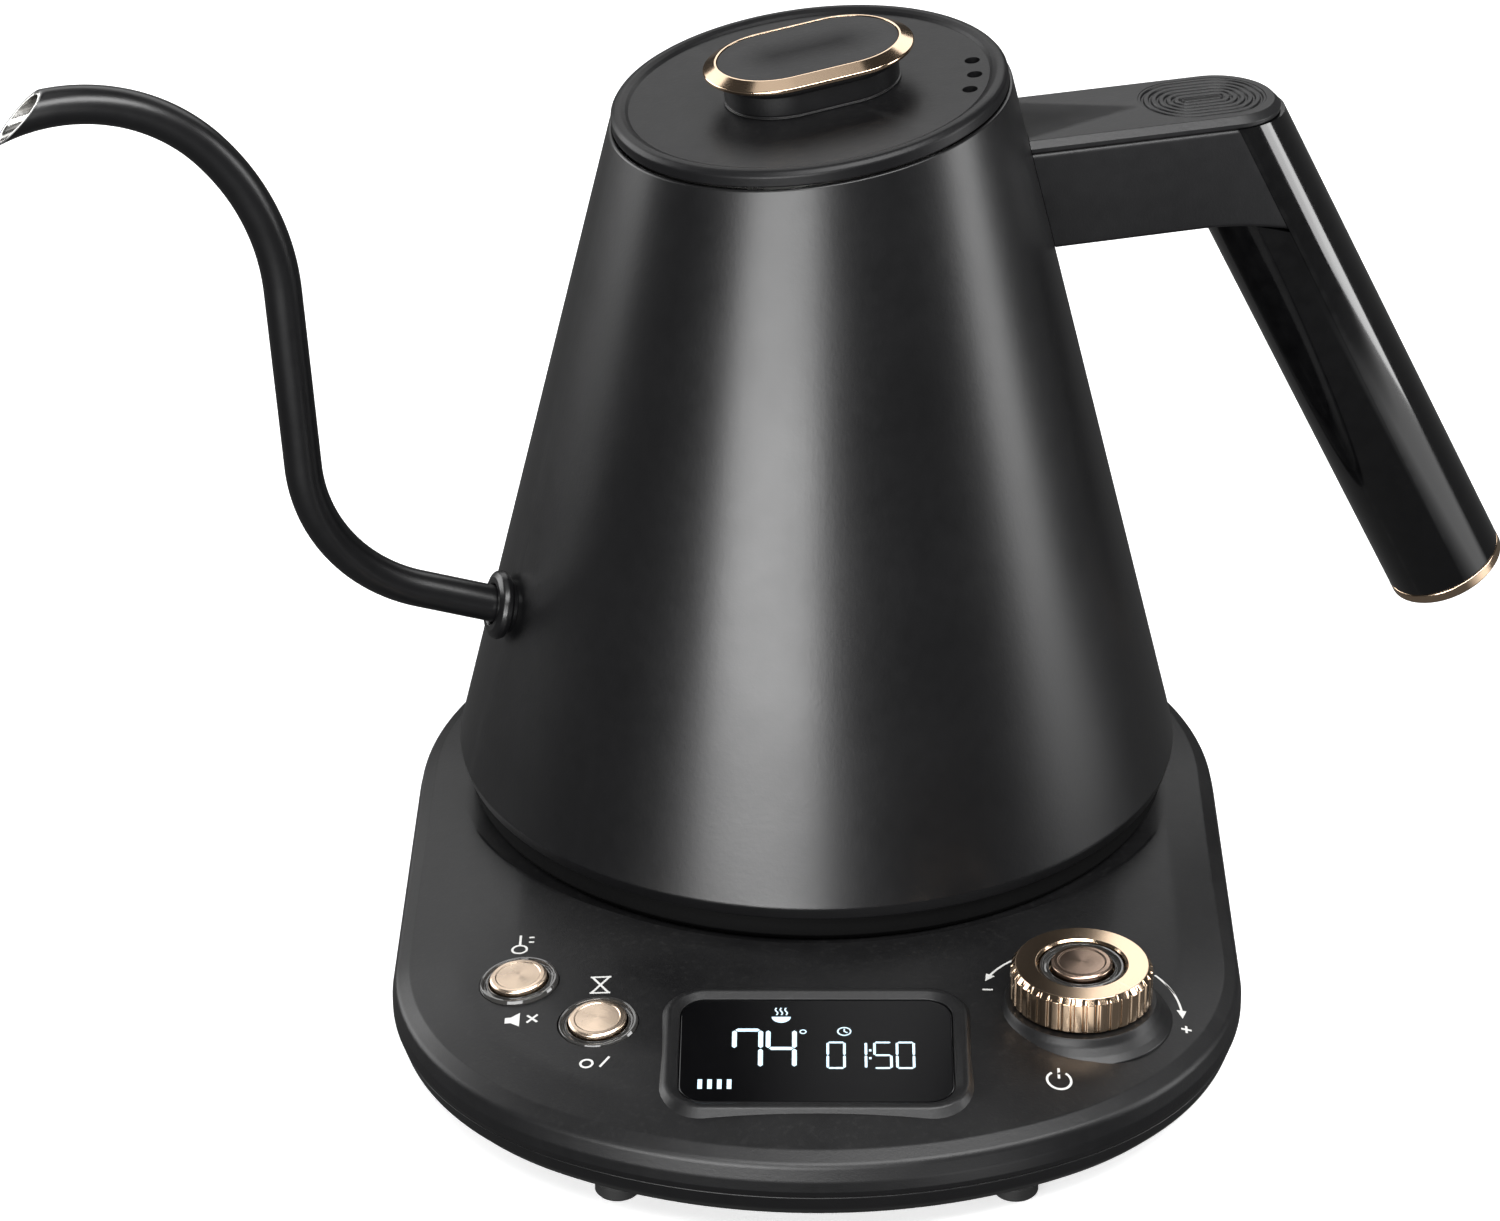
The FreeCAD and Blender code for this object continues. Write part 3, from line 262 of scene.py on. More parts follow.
# --------------------------------------------------------------------------------------- finishes
@dataclass(frozen=True)
class Finish:
    """One material: colours, gloss and fine texture.

    Attributes:
        name: the material's name.
        colour: base colour.
        second: colour of its mottling.
        edge: colour of convex edges, partly rubbed wear and partly a painted sheen.
        roughness: mean roughness.
        spread: how far the roughness goes to each side of its mean.
        metallic: 1 for bare metal.
        relief: kind of fine texture.
        grain: number of texture features in a metre.
        bump: strength of the texture.
        mottle: number of mottled patches in a metre.
        edge_wear_and_sheen_amount: share of the edge colour on convex edges, partly rubbed wear and partly a
            painted sheen.
        dust: share of dust on faces that look up.
        coat: weight of the clear coat.
        coat_roughness: roughness of the clear coat.
        specular: strength of the mirrored light on bare plastic and paint.
        transmission: share of light that passes through.
        anisotropy: how far highlights are drawn out along the brushing.
        glow: strength of its own light.
        centre: point in metres that the texture is centred on.
        tilt: yaw and tilt in degrees of a spun texture's axis.
    """

    name: str
    colour: Colour
    second: Colour
    edge: Colour = (0.3, 0.3, 0.3)
    roughness: float = 0.4
    spread: float = 0.04
    metallic: float = 0.0
    relief: Relief = Relief.MOULDED
    grain: float = 2200.0
    bump: float = 0.12
    mottle: float = 35.0
    edge_wear_and_sheen_amount: float = 0.12
    dust: float = 0.01
    coat: float = 0.0
    coat_roughness: float = 0.1
    specular: float = 0.5
    transmission: float = 0.0
    anisotropy: float = 0.0
    glow: float = 0.0
    centre: tuple[float, float, float] = (0.0, 0.0, 0.0)
    tilt: tuple[float, float] = (0.0, 0.0)

    def material(self) -> bpy.types.Material:
        """Returns this finish as a material, made once; CAD materials never start with look_."""
        known = bpy.data.materials.get("look_" + self.name)
        return known or self._build()

    def _build(self) -> bpy.types.Material:
        """Builds the material's nodes.

        Returns:
            The new material.
        """
        material = bpy.data.materials.new("look_" + self.name)
        material.use_nodes = True
        n = Nodes(material.node_tree)
        where = n.add("TexCoord").outputs["Object"]
        moved = n.add("Mapping", {"Vector": where, "Location": tuple(-c for c in self.centre)}).outputs[0]
        yaw, lean = (math.radians(a) for a in self.tilt)
        unturned = n.add("Mapping", {"Vector": moved, "Rotation": (0.0, 0.0, -yaw)}).outputs[0]
        vector = n.add("Mapping", {"Vector": unturned, "Rotation": (0.0, -lean, 0.0)}).outputs[0]
        tone = n.add("Group", node_tree=TONE)
        values = {"Colour": (*self.colour, 1.0), "Second Colour": (*self.second, 1.0),
                  "Edge Wear And Sheen Colour": (*self.edge, 1.0), "Mottle Scale": self.mottle, "Roughness": self.roughness,
                  "Roughness Spread": self.spread, "Edge Wear And Sheen Amount": self.edge_wear_and_sheen_amount, "Dust Amount": self.dust}
        for key, value in values.items():
            tone.inputs[key].default_value = value
        n.tree.links.new(vector, tone.inputs["Vector"])
        skin = n.add("Group", node_tree=SKINS[self.relief])
        skin.inputs["Scale"].default_value = self.grain
        n.tree.links.new(vector, skin.inputs["Vector"])
        bump = n.add("Bump", {"Strength": self.bump, "Distance": BUMP_DEPTH,
                              "Height": skin.outputs["Height"]})
        constants = {"Metallic": self.metallic, "Coat Weight": self.coat,
                     "Coat Roughness": self.coat_roughness, "Specular IOR Level": self.specular,
                     "Transmission Weight": self.transmission, "Anisotropic": self.anisotropy,
                     "Emission Strength": self.glow}
        shader = n.add("BsdfPrincipled", {"Base Color": tone.outputs["Color"],
                                          "Roughness": tone.outputs["Roughness"],
                                          "Normal": bump.outputs["Normal"], **constants})
        if self.glow:
            n.tree.links.new(tone.outputs["Color"], shader.inputs["Emission Color"])
        n.add("OutputMaterial", {"Surface": shader.outputs[0]})
        material.diffuse_color = (*self.colour, 1.0)
        return material


# each finish's third colour is its edge colour: partly rubbed wear and partly a painted sheen on convex edges
BODY_COAT = Finish("powder_coat", (0.0030, 0.0030, 0.0034), (0.0042, 0.0042, 0.0047), (0.04, 0.04, 0.04),
                   roughness=0.33, spread=0.02, relief=Relief.PEEL, grain=2600.0, bump=0.10, coat=0.10,
                   coat_roughness=0.25)
LID_COAT = Finish("lid_coat", (0.0040, 0.0040, 0.0045), (0.0056, 0.0056, 0.0062), (0.05, 0.05, 0.05),
                  roughness=0.40, spread=0.03, relief=Relief.PEEL, grain=3000.0, bump=0.14, specular=0.28)
BASE_PLASTIC = Finish("base_plastic", (0.0030, 0.0030, 0.0034), (0.0042, 0.0042, 0.0047), (0.03, 0.03, 0.03),
                      roughness=0.42, spread=0.03, grain=3600.0, bump=0.14, specular=0.48)
ARM_PLASTIC = Finish("arm_plastic", (0.0050, 0.0050, 0.0056), (0.0068, 0.0068, 0.0075), (0.05, 0.05, 0.05),
                     roughness=0.42, spread=0.03, grain=3600.0, bump=0.2)
GLOSS = Finish("gloss_plastic", (0.0012, 0.0012, 0.0014), (0.0018, 0.0018, 0.0021), (0.03, 0.03, 0.03),
               roughness=0.10, spread=0.01, grain=300.0, bump=0.002, coat=0.5, coat_roughness=0.04,
               dust=0.001)
GOLD = Finish("rose_gold", (0.80, 0.59, 0.41), (0.83, 0.62, 0.44), (0.92, 0.76, 0.6), roughness=0.15,
              spread=0.01, metallic=1.0, relief=Relief.BRUSHED, grain=1800.0, bump=0.008, dust=0.001,
              edge_wear_and_sheen_amount=0.2)
KEY_GOLD = Finish("key_gold", (0.76, 0.60, 0.46), (0.79, 0.63, 0.49), (0.9, 0.78, 0.66), roughness=0.26,
                  metallic=1.0, relief=Relief.SPUN, grain=900.0, bump=0.03, dust=0.0, anisotropy=0.7)
START_GOLD = Finish("start_gold", (0.50, 0.36, 0.28), (0.53, 0.39, 0.30), (0.8, 0.66, 0.52),
                    roughness=0.24, metallic=1.0, relief=Relief.SPUN, grain=900.0, bump=0.03, dust=0.0,
                    anisotropy=0.7)
STEEL = Finish("brushed_steel", (0.58, 0.57, 0.55), (0.66, 0.65, 0.63), (0.8, 0.8, 0.8), roughness=0.26,
               metallic=1.0, relief=Relief.BRUSHED, grain=1600.0, bump=0.06)
ALUMINIUM = Finish("cast_aluminium", (0.6, 0.6, 0.6), (0.7, 0.7, 0.7), (0.8, 0.8, 0.8), roughness=0.5,
                   metallic=1.0, relief=Relief.PEEL, grain=900.0, bump=0.4)
BRASS = Finish("contact_brass", (0.78, 0.57, 0.27), (0.85, 0.66, 0.34), (0.9, 0.75, 0.5), roughness=0.25,
               metallic=1.0, relief=Relief.BRUSHED, grain=1500.0, bump=0.05)
SHADE_BLACK = Finish("matt_black", (0.0012, 0.0012, 0.0013), (0.0018, 0.0018, 0.0019),
                     (0.01, 0.01, 0.01), roughness=0.7, grain=2400.0, bump=0.1, dust=0.001, specular=0.12)
SILICONE = Finish("silicone", (0.36, 0.36, 0.35), (0.42, 0.42, 0.41), (0.5, 0.5, 0.5), roughness=0.6,
                  bump=0.15)
RUBBER = Finish("rubber", (0.012, 0.012, 0.012), (0.02, 0.02, 0.02), (0.08, 0.08, 0.08), roughness=0.7,
                grain=1600.0, bump=0.3, dust=0.03)
BOARD = Finish("circuit_board", (0.02, 0.11, 0.05), (0.03, 0.15, 0.07), (0.5, 0.42, 0.2), roughness=0.35,
               grain=700.0, bump=0.1, mottle=300.0)
PART_BLACK = Finish("part_black", (0.012, 0.012, 0.013), (0.018, 0.018, 0.019), (0.1, 0.1, 0.1),
                    roughness=0.5)
SCREW = Finish("screw_steel", (0.45, 0.45, 0.46), (0.55, 0.55, 0.56), (0.8, 0.8, 0.8), roughness=0.3,
               metallic=1.0, relief=Relief.BRUSHED, grain=1200.0, bump=0.08)
DARK_GLASS = Finish("smoked_glass", (0.0012, 0.0012, 0.0015), (0.002, 0.002, 0.0025), (0.05, 0.05, 0.05),
                    roughness=0.05, spread=0.015, grain=400.0, bump=0.004, dust=0.001)
CLEAR = Finish("clear_plastic", (0.045, 0.044, 0.042), (0.06, 0.058, 0.055), (0.09, 0.088, 0.085),
               roughness=0.05, spread=0.01, edge_wear_and_sheen_amount=0.05, transmission=0.35, bump=0.004, dust=0.001,
               coat=1.0, coat_roughness=0.03)
SEGMENT_LIGHT = Finish("segment_light", (0.52, 0.72, 0.84), (0.62, 0.80, 0.90), (0.7, 0.85, 0.95),
                       roughness=0.5, glow=0.42, mottle=300.0, dust=0.0, bump=0.02)
PRINT_INK = Finish("print_ink", (0.62, 0.62, 0.60), (0.70, 0.70, 0.68), (0.8, 0.8, 0.8), roughness=0.5,
                   mottle=500.0, grain=4000.0, bump=0.2)

# the finish of each material slot's CAD nodes that stay in view
SLOT_FINISH = {"body_coat": BODY_COAT, "black_plastic": BASE_PLASTIC, "gloss_plastic": GLOSS,
               "gold_metal": GOLD, "spun_gold": GOLD, "steel": STEEL, "cast_aluminium": ALUMINIUM,
               "contact_brass": BRASS, "silicone": SILICONE, "rubber": RUBBER, "smoked_glass": DARK_GLASS,
               "clear_plastic": CLEAR, "board": BOARD, "part_black": PART_BLACK, "screw_steel": SCREW}


# ---------------------------------------------------------------------------------- local frames
def turn_matrix(yaw: float = 0.0, pitch: float = 0.0, roll: float = 0.0) -> Array:
    """Returns the rotation that rolls about X, then pitches about Y, then yaws about Z, in degrees."""
    return np.array(Matrix.Rotation(math.radians(yaw), 3, "Z") @ Matrix.Rotation(math.radians(pitch), 3, "Y")
                    @ Matrix.Rotation(math.radians(roll), 3, "X"))


@dataclass(frozen=True)
class Place:
    """A local frame in millimetres, standing in the row frame.

    Attributes:
        origin: its origin in the row frame, in metres.
        turn: its axes as the columns of a matrix.
    """

    origin: Array
    turn: Array

    def put(self, points: Array) -> Array:
        """Returns local points as points of the row frame, in metres."""
        return (points * MM) @ self.turn.T + self.origin

    def at(self, x: float = 0.0, y: float = 0.0, z: float = 0.0, **angles: float) -> "Place":
        """Returns the frame moved by x, y, z in its own axes and then turned by turn_matrix's angles."""
        return Place(self.put(np.array([x, y, z], float)), self.turn @ turn_matrix(**angles))


def kettle_axis() -> Array:
    """Returns where the kettle's axis crosses the plane of its bottom rim, from the swivel joint."""
    swivel = next(j for j in frame["joints"] if j["name"] == "kettle_swivel")
    return np.array(swivel["pos_m"], float)


HANDLE_YAW = 17.0
AXIS = kettle_axis()
BASE_PLACE = Place(AXIS * (1.0, 1.0, 0.0), np.eye(3))
KETTLE_PLACE = Place(AXIS, turn_matrix(yaw=HANDLE_YAW))


# ---------------------------------------------------------------------------------- shape helpers
def rounded(corners: Sequence[Sequence[float]], radius: float | Sequence[float], steps: int = 5,
            poles: Optional[float] = 0.0) -> Array:
    """Rounds a closed polygon: each corner becomes an arc that touches its two sides.

    The arc's ends lie radius / tan(half the corner's angle) along the sides, held to 45 % of each,
    and its points come from turning one end towards the other about the arc's centre. One more
    point past each end keeps the shading of the flat sides flat.

    Args:
        corners: the polygon's corners.
        radius: one radius, or one for each corner.
        steps: points on each arc.
        poles: corners whose first coordinate is this stay sharp, since they lie on the axis; with
            None every corner is rounded.

    Returns:
        The rounded polygon, steps + 2 rows for each corner.
    """
    p = np.asarray(corners, float)
    back, ahead = np.roll(p, 1, 0) - p, np.roll(p, -1, 0) - p
    long_back, long_ahead = (np.linalg.norm(v, axis=1, keepdims=True) for v in (back, ahead))
    back, ahead = back / long_back, ahead / long_ahead
    angle = np.arccos(np.clip((back * ahead).sum(1, keepdims=True), -1.0, 1.0))
    size = np.broadcast_to(np.asarray(radius, float).reshape(-1, 1), (len(p), 1)).copy()
    if poles is not None:
        size[np.isclose(p[:, 0], poles)] = 0.0
    slope = np.tan(angle / 2)
    reach = np.minimum(size / slope, 0.45 * np.minimum(long_back, long_ahead))
    bisector = back + ahead
    bisector /= np.maximum(np.linalg.norm(bisector, axis=1, keepdims=True), 1e-9)
    centre = p + bisector * reach / np.cos(angle / 2)
    sweep = np.maximum(np.pi - angle, 1e-4)[:, None]
    t = np.linspace(0.0, 1.0, steps)[None, :, None]
    start, end = (p + back * reach - centre)[:, None], (p + ahead * reach - centre)[:, None]
    arc = (np.sin((1 - t) * sweep) * start + np.sin(t * sweep) * end) / np.sin(sweep)
    hold = np.where(size > 0, np.minimum(0.12, 0.04 * np.minimum(long_back, long_ahead)), 0.0)
    ends = [(p + side * (reach + hold))[:, None] for side in (back, ahead)]
    return np.concatenate([ends[0], centre[:, None] + arc, ends[1]], 1).reshape(-1, 2)


def revolve(profile: Array, count: int = 128) -> Array:
    """Turns a profile about Z: x and y are the radius times the cosine and sine of the turn.

    Args:
        profile: rows of radius and height.
        count: points round the turn.

    Returns:
        A grid of points, a row for each row of the profile.
    """
    turn = np.linspace(0.0, 2 * np.pi, count, endpoint=False)
    radius, height = profile[:, :1], profile[:, 1:]
    return np.stack([radius * np.cos(turn), radius * np.sin(turn), height + 0 * turn], -1)


@dataclass(frozen=True)
class Outline:
    """A closed plan outline that can be offset: each point is a centre plus a direction times a radius.

    Attributes:
        centres: centre of the arc that each point lies on.
        angles: direction of each point from its centre, in radians.
        radii: radius of each point's arc.
    """

    centres: Array
    angles: Array
    radii: Array

    @staticmethod
    def of_arcs(arcs: Iterable[tuple[float, float, float, float, float, int]]) -> "Outline":
        """Joins arcs, given as centre x, centre y, radius, first and last angle in degrees, and count."""
        rows = [(np.tile([x, y], (count, 1)), np.radians(np.linspace(a, b, count)), np.full(count, r))
                for x, y, r, a, b, count in arcs]
        return Outline(*(np.concatenate(column) for column in zip(*rows)))

    def plan(self) -> Array:
        """Returns the outline's own points, as x and y."""
        return self.carry(np.zeros((1, 2)))[0, :, :2]

    @staticmethod
    def box(half_x: float, half_y: float, corner: float, count: int = 12) -> "Outline":
        """Returns a rectangle with corners of one radius; a stadium is one whose corner is half its width."""
        x, y = half_x - corner, half_y - corner
        return Outline.of_arcs([(x, y, corner, 0, 90, count), (-x, y, corner, 90, 180, count),
                                (-x, -y, corner, 180, 270, count), (x, -y, corner, 270, 360, count)])

    def carry(self, profile: Array) -> Array:
        """Carries a profile round the outline.

        Each point is its centre plus its direction times the arc's radius and the offset together.

        Args:
            profile: rows of offset, positive outwards, and height.

        Returns:
            A grid of points, a row for each row of the profile.
        """
        offset, height = profile[:, :1], profile[:, 1:]
        reach = self.radii + offset
        x = self.centres[:, 0] + reach * np.cos(self.angles)
        y = self.centres[:, 1] + reach * np.sin(self.angles)
        return np.stack([x, y, height + 0 * x], -1)


class Piece:
    """One visible piece: shells of points and faces that become a single mesh in the row frame."""

    def __init__(self, name: str, place: Place) -> None:
        """Starts an empty piece.

        Args:
            name: the piece's name.
            place: frame that its points are given in.
        """
        self.name, self.place = name, place
        self.points: list[Array] = []
        self.faces: list[list[int]] = []
        self.count = 0

    def shell(self, points: Array, faces: Iterable[Sequence[int]]) -> "Piece":
        """Adds points and the faces between them.

        Args:
            points: rows of x, y and z in local millimetres.
            faces: each face as numbers of rows.

        Returns:
            This piece.
        """
        self.faces += [[i + self.count for i in face] for face in faces]
        self.points.append(self.place.put(points))
        self.count += len(points)
        return self

    def grid(self, points: Array, wrap_rows: bool = True, wrap_columns: bool = True) -> "Piece":
        """Adds a four-sided face between each pair of neighbouring rows and columns of a point grid.

        Args:
            points: the grid, with x, y and z last.
            wrap_rows: whether the last row joins the first.
            wrap_columns: whether the last column joins the first.

        Returns:
            This piece.
        """
        rows, columns = points.shape[:2]
        index = np.arange(rows * columns).reshape(rows, columns)
        index = np.vstack([index, index[:1]]) if wrap_rows else index
        index = np.hstack([index, index[:, :1]]) if wrap_columns else index
        quads = np.stack([index[:-1, :-1], index[:-1, 1:], index[1:, 1:], index[1:, :-1]], -1)
        return self.shell(points.reshape(-1, 3), quads.reshape(-1, 4).tolist())

    def lathe(self, corners: Sequence[Sequence[float]], radius: float | Sequence[float] = 0.3,
              steps: int = 5, count: int = 128) -> "Piece":
        """Adds a turned solid from a closed polygon of radius and height with rounded corners."""
        return self.grid(revolve(rounded(corners, radius, steps), count))

    def plate(self, points: Array) -> "Piece":
        """Adds a solid from a point grid whose rings run round it, with a flat face on each end ring.

        Args:
            points: the grid, one ring to a row.

        Returns:
            This piece.
        """
        rows, columns = points.shape[:2]
        start = self.count
        self.grid(points, wrap_rows=False)
        top = start + (rows - 1) * columns
        self.faces += [list(range(start + columns - 1, start - 1, -1)), list(range(top, top + columns))]
        return self

    def prism(self, outline: Array, low: Array | float, high: Array | float) -> "Piece":
        """Adds a plan outline extruded from one level to another, with closed ends.

        Args:
            outline: rows of x and y.
            low: level of the lower end, or one level for each point.
            high: level of the upper end, likewise.

        Returns:
            This piece.
        """
        n = len(outline)
        ends = [np.column_stack([outline, np.broadcast_to(level, n)]) for level in (low, high)]
        sides = np.stack([np.arange(n), np.roll(np.arange(n), -1)], -1)
        quads = np.hstack([sides, sides[:, ::-1] + n]).tolist()
        return self.shell(np.vstack(ends), quads + [list(range(n)), list(range(2 * n - 1, n - 1, -1))])

    def mesh_object(self) -> bpy.types.Object:
        """Makes the mesh: merges seams and poles, drops empty faces and turns all faces outwards.

        Returns:
            The new object, at the origin.
        """
        mesh = bpy.data.meshes.new(self.name)
        mesh.from_pydata(np.vstack(self.points).tolist(), [], self.faces)
        work = bmesh.new()
        work.from_mesh(mesh)
        bmesh.ops.remove_doubles(work, verts=work.verts, dist=MERGE_GAP)
        bmesh.ops.dissolve_degenerate(work, edges=work.edges, dist=EMPTY_GAP)
        bmesh.ops.recalc_face_normals(work, faces=work.faces)
        work.to_mesh(mesh)
        work.free()
        made = bpy.data.objects.new(self.name, mesh)
        bpy.context.scene.collection.objects.link(made)
        return made

    def make(self, finish: Finish, body: Body, stands_for: Sequence[str] = (), slot: Optional[str] = None,
             cutters: Sequence["Piece"] = (), sharp: float = 32.0) -> bpy.types.Object:
        """Makes the finished piece and puts it on its body.

        Args:
            finish: its material.
            body: the CAD body that it rides on.
            stands_for: the CAD nodes that it replaces.
            slot: the record's material slot; not used.
            cutters: solids that are taken out of it.
            sharp: edges that turn by more than this many degrees stay crisp.

        Returns:
            The piece's object.
        """
        made = self.mesh_object()
        for cutter in cutters:
            carve(made, cutter.mesh_object())
        made.data.materials.clear()
        made.data.materials.append(finish.material())
        made.data.shade_smooth()
        made.data.set_sharp_from_angle(angle=math.radians(sharp))
        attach(made, body.value)
        if stands_for:
            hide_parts(*stands_for)
        log.info("%s: %d faces on %s", self.name, len(made.data.polygons), body.value)
        return made


def carve(target: bpy.types.Object, cutter: bpy.types.Object) -> None:
    """Takes the cutter's solid out of the target's mesh and removes the cutter.

    Args:
        target: the piece that is cut.
        cutter: the solid that is taken out of it.
    """
    tool = target.modifiers.new("carve", "BOOLEAN")
    tool.operation, tool.solver, tool.object = "DIFFERENCE", "EXACT", cutter
    bpy.context.view_layer.update()
    evaluated = target.evaluated_get(bpy.context.evaluated_depsgraph_get())
    mesh = bpy.data.meshes.new_from_object(evaluated)
    target.modifiers.clear()
    target.data = mesh
    bpy.data.objects.remove(cutter)


# ---------------------------------------------------------------------------------------- kettle
@dataclass
class KettleBody:
    """The cone, its skirt and the collar at the spout's root."""

    rim_radius: float = 73.0
    slope: float = 0.249
    wall: float = 0.9
    lid_height: float = 141.0
    lid_gap: float = 3.6
    lid_slant: float = 7.2
    spout_level: float = 37.4
    hole_level: float = 37.2
    hole_radius: float = 3.9
    hole_pitch: float = -69.0
    points_round: int = 256
    place: Place = field(default_factory=lambda: KETTLE_PLACE)

    def radius(self, level: Array | float) -> Array | float:
        """Returns the cone's radius at a height above the rim."""
        return self.rim_radius - self.slope * level

    def build(self) -> None:
        """Makes the pieces."""
        self.build_shell()
        self.build_skirt()
        self.build_flange()

    def build_shell(self) -> None:
        """Makes the cone: its rounded section turned about the axis, stretched up to the slanted mouth.

        The mouth lies where the cone meets the lid's plane, at (m + s c R) / (1 + s k c) for the
        plane's height m and slope s, the cone's radius R and slope k, and the turn's cosine c.
        """
        top = self.lid_height - self.lid_gap
        foot, end = self.radius(0.0), self.radius(top)
        inside = self.radius(1.0) - self.wall
        section = rounded([(foot, 0), (end, top), (end - self.wall, top), (inside, 1.0), (70.9, -1.4),
                           (70.6, -2.6), (72.3, -2.6)],
                          [1.3, 0.42, 0.42, 1.0, 0.3, 0.2, 0.45], 6)
        points = revolve(section, self.points_round)
        turn = np.linspace(0.0, 2 * np.pi, self.points_round, endpoint=False)
        rise = math.tan(math.radians(self.lid_slant)) * np.cos(turn)
        mouth = (top + rise * self.rim_radius) / (1 + rise * self.slope)
        height = points[..., 2]
        # the rows at the rim stay level, and all others rise in proportion
        lifted = np.where(height > 2.0, height * mouth / top, height)
        reach = section[:, :1] - self.slope * (lifted - height)
        points = np.stack([reach * np.cos(turn), reach * np.sin(turn), lifted], -1)
        level, reach = self.hole_level, self.hole_radius
        hole = Piece("spout_hole", self.place.at(-self.radius(level), 0, level, pitch=self.hole_pitch))
        hole.lathe([(0, -12), (reach, -12), (reach, 12), (0, 12)], 0.0, 2, 48)
        Piece("kettle_cone", self.place).grid(points).make(
            BODY_COAT, Body.KETTLE, ["kettle_shell"], "body_coat", [hole])

    def build_skirt(self) -> None:
        """Makes the black plastic skirt under the cone."""
        Piece("kettle_underside", self.place).lathe(
            [(18.6, -7.2), (68.2, -7.2), (69.2, -8.1), (70.3, -8.1), (71.0, -7.0), (70.8, -2.65),
             (69.6, -2.65), (68.6, -5.6), (18.6, -5.6)], 0.5).make(
                 SHADE_BLACK, Body.KETTLE, ["kettle_skirt"], "black_plastic")

    def build_flange(self) -> None:
        """Makes the turned ring at the spout's root, square to the wall."""
        lean = math.degrees(math.atan(self.slope))
        place = self.place.at(-self.radius(self.spout_level), 0, self.spout_level, pitch=lean - 90.0)
        Piece("spout_collar", place).lathe(
            [(4.0, -0.25), (5.3, -0.25), (5.6, 0.8), (6.6, 1.2), (6.95, 2.2), (6.6, 3.2), (5.4, 3.75),
             (4.3, 3.75), (4.0, 3.4)], [0.1, 0.3, 0.4, 0.5, 0.8, 0.8, 0.6, 0.3, 0.2]).make(
                 BODY_COAT, Body.KETTLE, ["spout_flange"], "body_coat")


